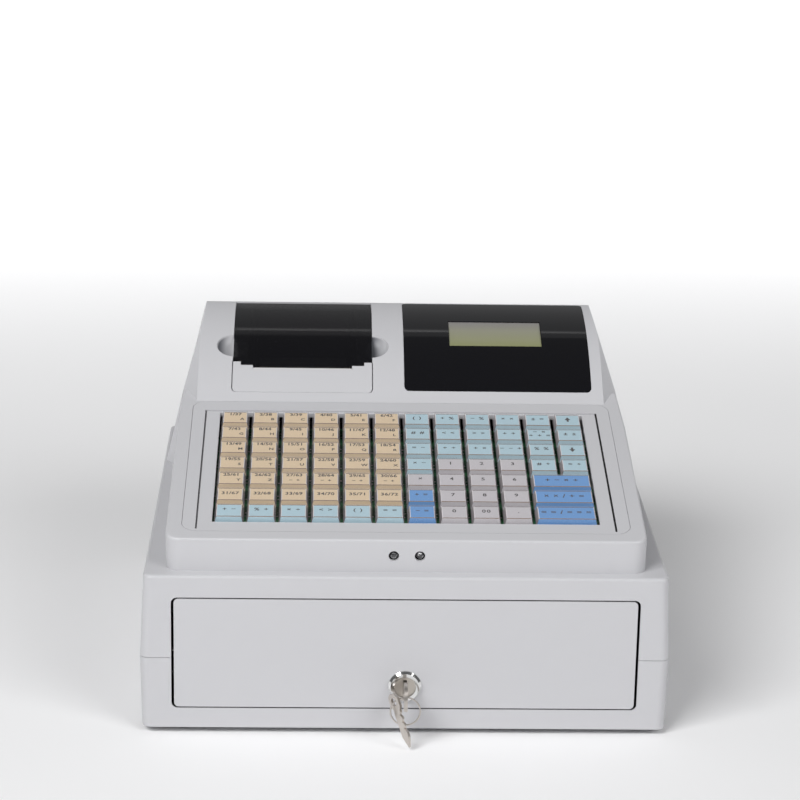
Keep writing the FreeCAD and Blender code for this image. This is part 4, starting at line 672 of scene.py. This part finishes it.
def build_labels(node, keys):
    """Carriers, cards and legends of one node's keys: keys are (row, column, cells, legends)."""
    bm = bmesh.new()
    for row, column, cells, legends in keys:
        u, v = key_centre(row, column)
        add_carrier(bm, on_keyboard(u, v, 0), cells)
        if (row, column) in arrows:
            place = on_keyboard(u, v - key_top_shift + arrow_up, card_level)
            add_arrow(bm, arrow_size, place, arrows[row, column])
    for row, column, cells, legends in keys:
        u, v = key_centre(row, column)
        for words, size, across, up, spacing in legends:
            place = on_keyboard(u + across, v - key_top_shift + up, card_level)
            add_text(bm, words, size, place, spacing)
    slot = slot_of[node]
    finish_piece("labels_" + node, bm, "body_" + node,
                 [carrier_plastic_and_shade, cards[slot], ink, crease_line, cap_rim_highlight, rear_painted_shade])


def preset_legends(number, row):
    """Two numbers to a preset key and, on the rows above the last, a letter or a sign below them."""
    numbers = str(number) + "/" + str(number + preset_count)
    if row == preset_rows[-1]:
        return [(numbers, preset_text, 0, last_row_up, last_row_spacing)]
    letters = "ABCDEFGHIJKLMNOPQRSTUVWXYZ"
    upper = (numbers, preset_text, 0, number_up, solid_spacing)
    if number > len(letters):
        return [upper, ("− +", letter_text, 0, letter_up, symbol_spacing)]
    return [upper, (letters[number - 1], letter_text, letter_across, letter_up, solid_spacing)]


def symbol_legend(row, column):
    """The signs of a function key, where it has any."""
    if (row, column) not in pair_symbols:
        return []
    return [(pair_symbols[row, column], symbol_text, 0, symbol_up, symbol_spacing)]


build_labels("preset_keys", [(row, column, 1, preset_legends((row - 1) * len(preset_columns) + column, row))
                             for row in preset_rows for column in preset_columns])
build_labels("front_function_keys", [(front_row, column, 1, symbol_legend(front_row, column))
                                     for column in preset_columns])
function_places = [(row, column) for row in function_rows for column in function_columns]
function_places += [(4, 7), (4, 11), (4, 12)]
build_labels("function_keys", [(row, column, 1, symbol_legend(row, column))
                               for row, column in function_places])
for node, (row, column, words) in single_symbols.items():
    build_labels(node, [(row, column, 1, [(words, digit_text, 0, digit_up, digit_spacing)])])
for node, (row, words) in wide_symbols.items():
    build_labels(node, [(row, wide_column, 2, [(words, wide_text, 0, wide_up, wide_spacing)])])


def tear_blade():
    """Thin serrated blade across the paper slot, its teeth towards the cover."""
    bm = bmesh.new()
    bmesh.ops.create_grid(bm, x_segments=2 * blade_teeth, y_segments=1, size=1.0)
    for corner in bm.verts:
        rear = corner.co.y > 0
        notch = rear and round((corner.co.x + 1) * blade_teeth) % 2
        share = (blade_notch_share if notch else 1.0) if rear else 0.0
        corner.co = Vector((blade_middle + corner.co.x * blade_half,
                            blade_front + share * (blade_rear - blade_front),
                            blade_front_z + share * (blade_rear_z - blade_front_z)))
    bmesh.ops.solidify(bm, geom=list(bm.faces), thickness=blade_sheet)
    bmesh.ops.recalc_face_normals(bm, faces=list(bm.faces))
    finish_piece("tear_blade", bm, "case", [blade_paint])


tear_blade()


# Stage, light and camera

def paper_floor():
    """Plain pale paper."""
    f = Finish("floor_paper", Roughness=0.9, Specular_IOR_Level=0.05)
    cloud = f.noise(3.0, 2.0, 0.5)
    f.set(Base_Color=f.blend(cloud, (0.90, 0.90, 0.905), (0.92, 0.92, 0.925)))
    return f.material


bm = bmesh.new()
bmesh.ops.create_grid(bm, x_segments=1, y_segments=1, size=floor_half)
mesh = bpy.data.meshes.new("floor")
bm.to_mesh(mesh)
bm.free()
mesh.materials.append(paper_floor())
floor = bpy.data.objects.new("floor", mesh)
bpy.context.scene.collection.objects.link(floor)

world = bpy.data.worlds.new("studio")
world.use_nodes = True
world.node_tree.nodes["Background"].inputs["Color"].default_value = world_colour
world.node_tree.nodes["Background"].inputs["Strength"].default_value = world_strength
bpy.context.scene.world = world


def soft_box(name, place, target, sides, power, spread=180.0):
    """A flat light at a place, aimed at its target."""
    data = bpy.data.lights.new(name, "AREA")
    data.shape = "RECTANGLE"
    data.size, data.size_y = sides
    data.energy = power
    data.spread = math.radians(spread)
    lamp = bpy.data.objects.new(name, data)
    bpy.context.scene.collection.objects.link(lamp)
    lamp.location = place
    lamp.rotation_euler = (Vector(target) - Vector(place)).to_track_quat("-Z", "Y").to_euler()


for name, settings in lights.items():
    soft_box(name, **settings)

side = camera_forward.cross(camera_up).normalized()
forward = camera_forward.normalized()
up = side.cross(forward).normalized()
camera = bpy.data.objects.new("camera", bpy.data.cameras.new("camera"))
bpy.context.scene.collection.objects.link(camera)
camera.matrix_world = Matrix.Translation(camera_place) @ Matrix((side, up, -forward)).transposed().to_4x4()
camera.data.sensor_width = sensor_width
camera.data.lens = focal_pixels / picture_width * sensor_width
camera.data.clip_start = clip_near
camera.data.clip_end = clip_far
bpy.context.scene.camera = camera
bpy.context.scene.view_settings.view_transform = "Standard"
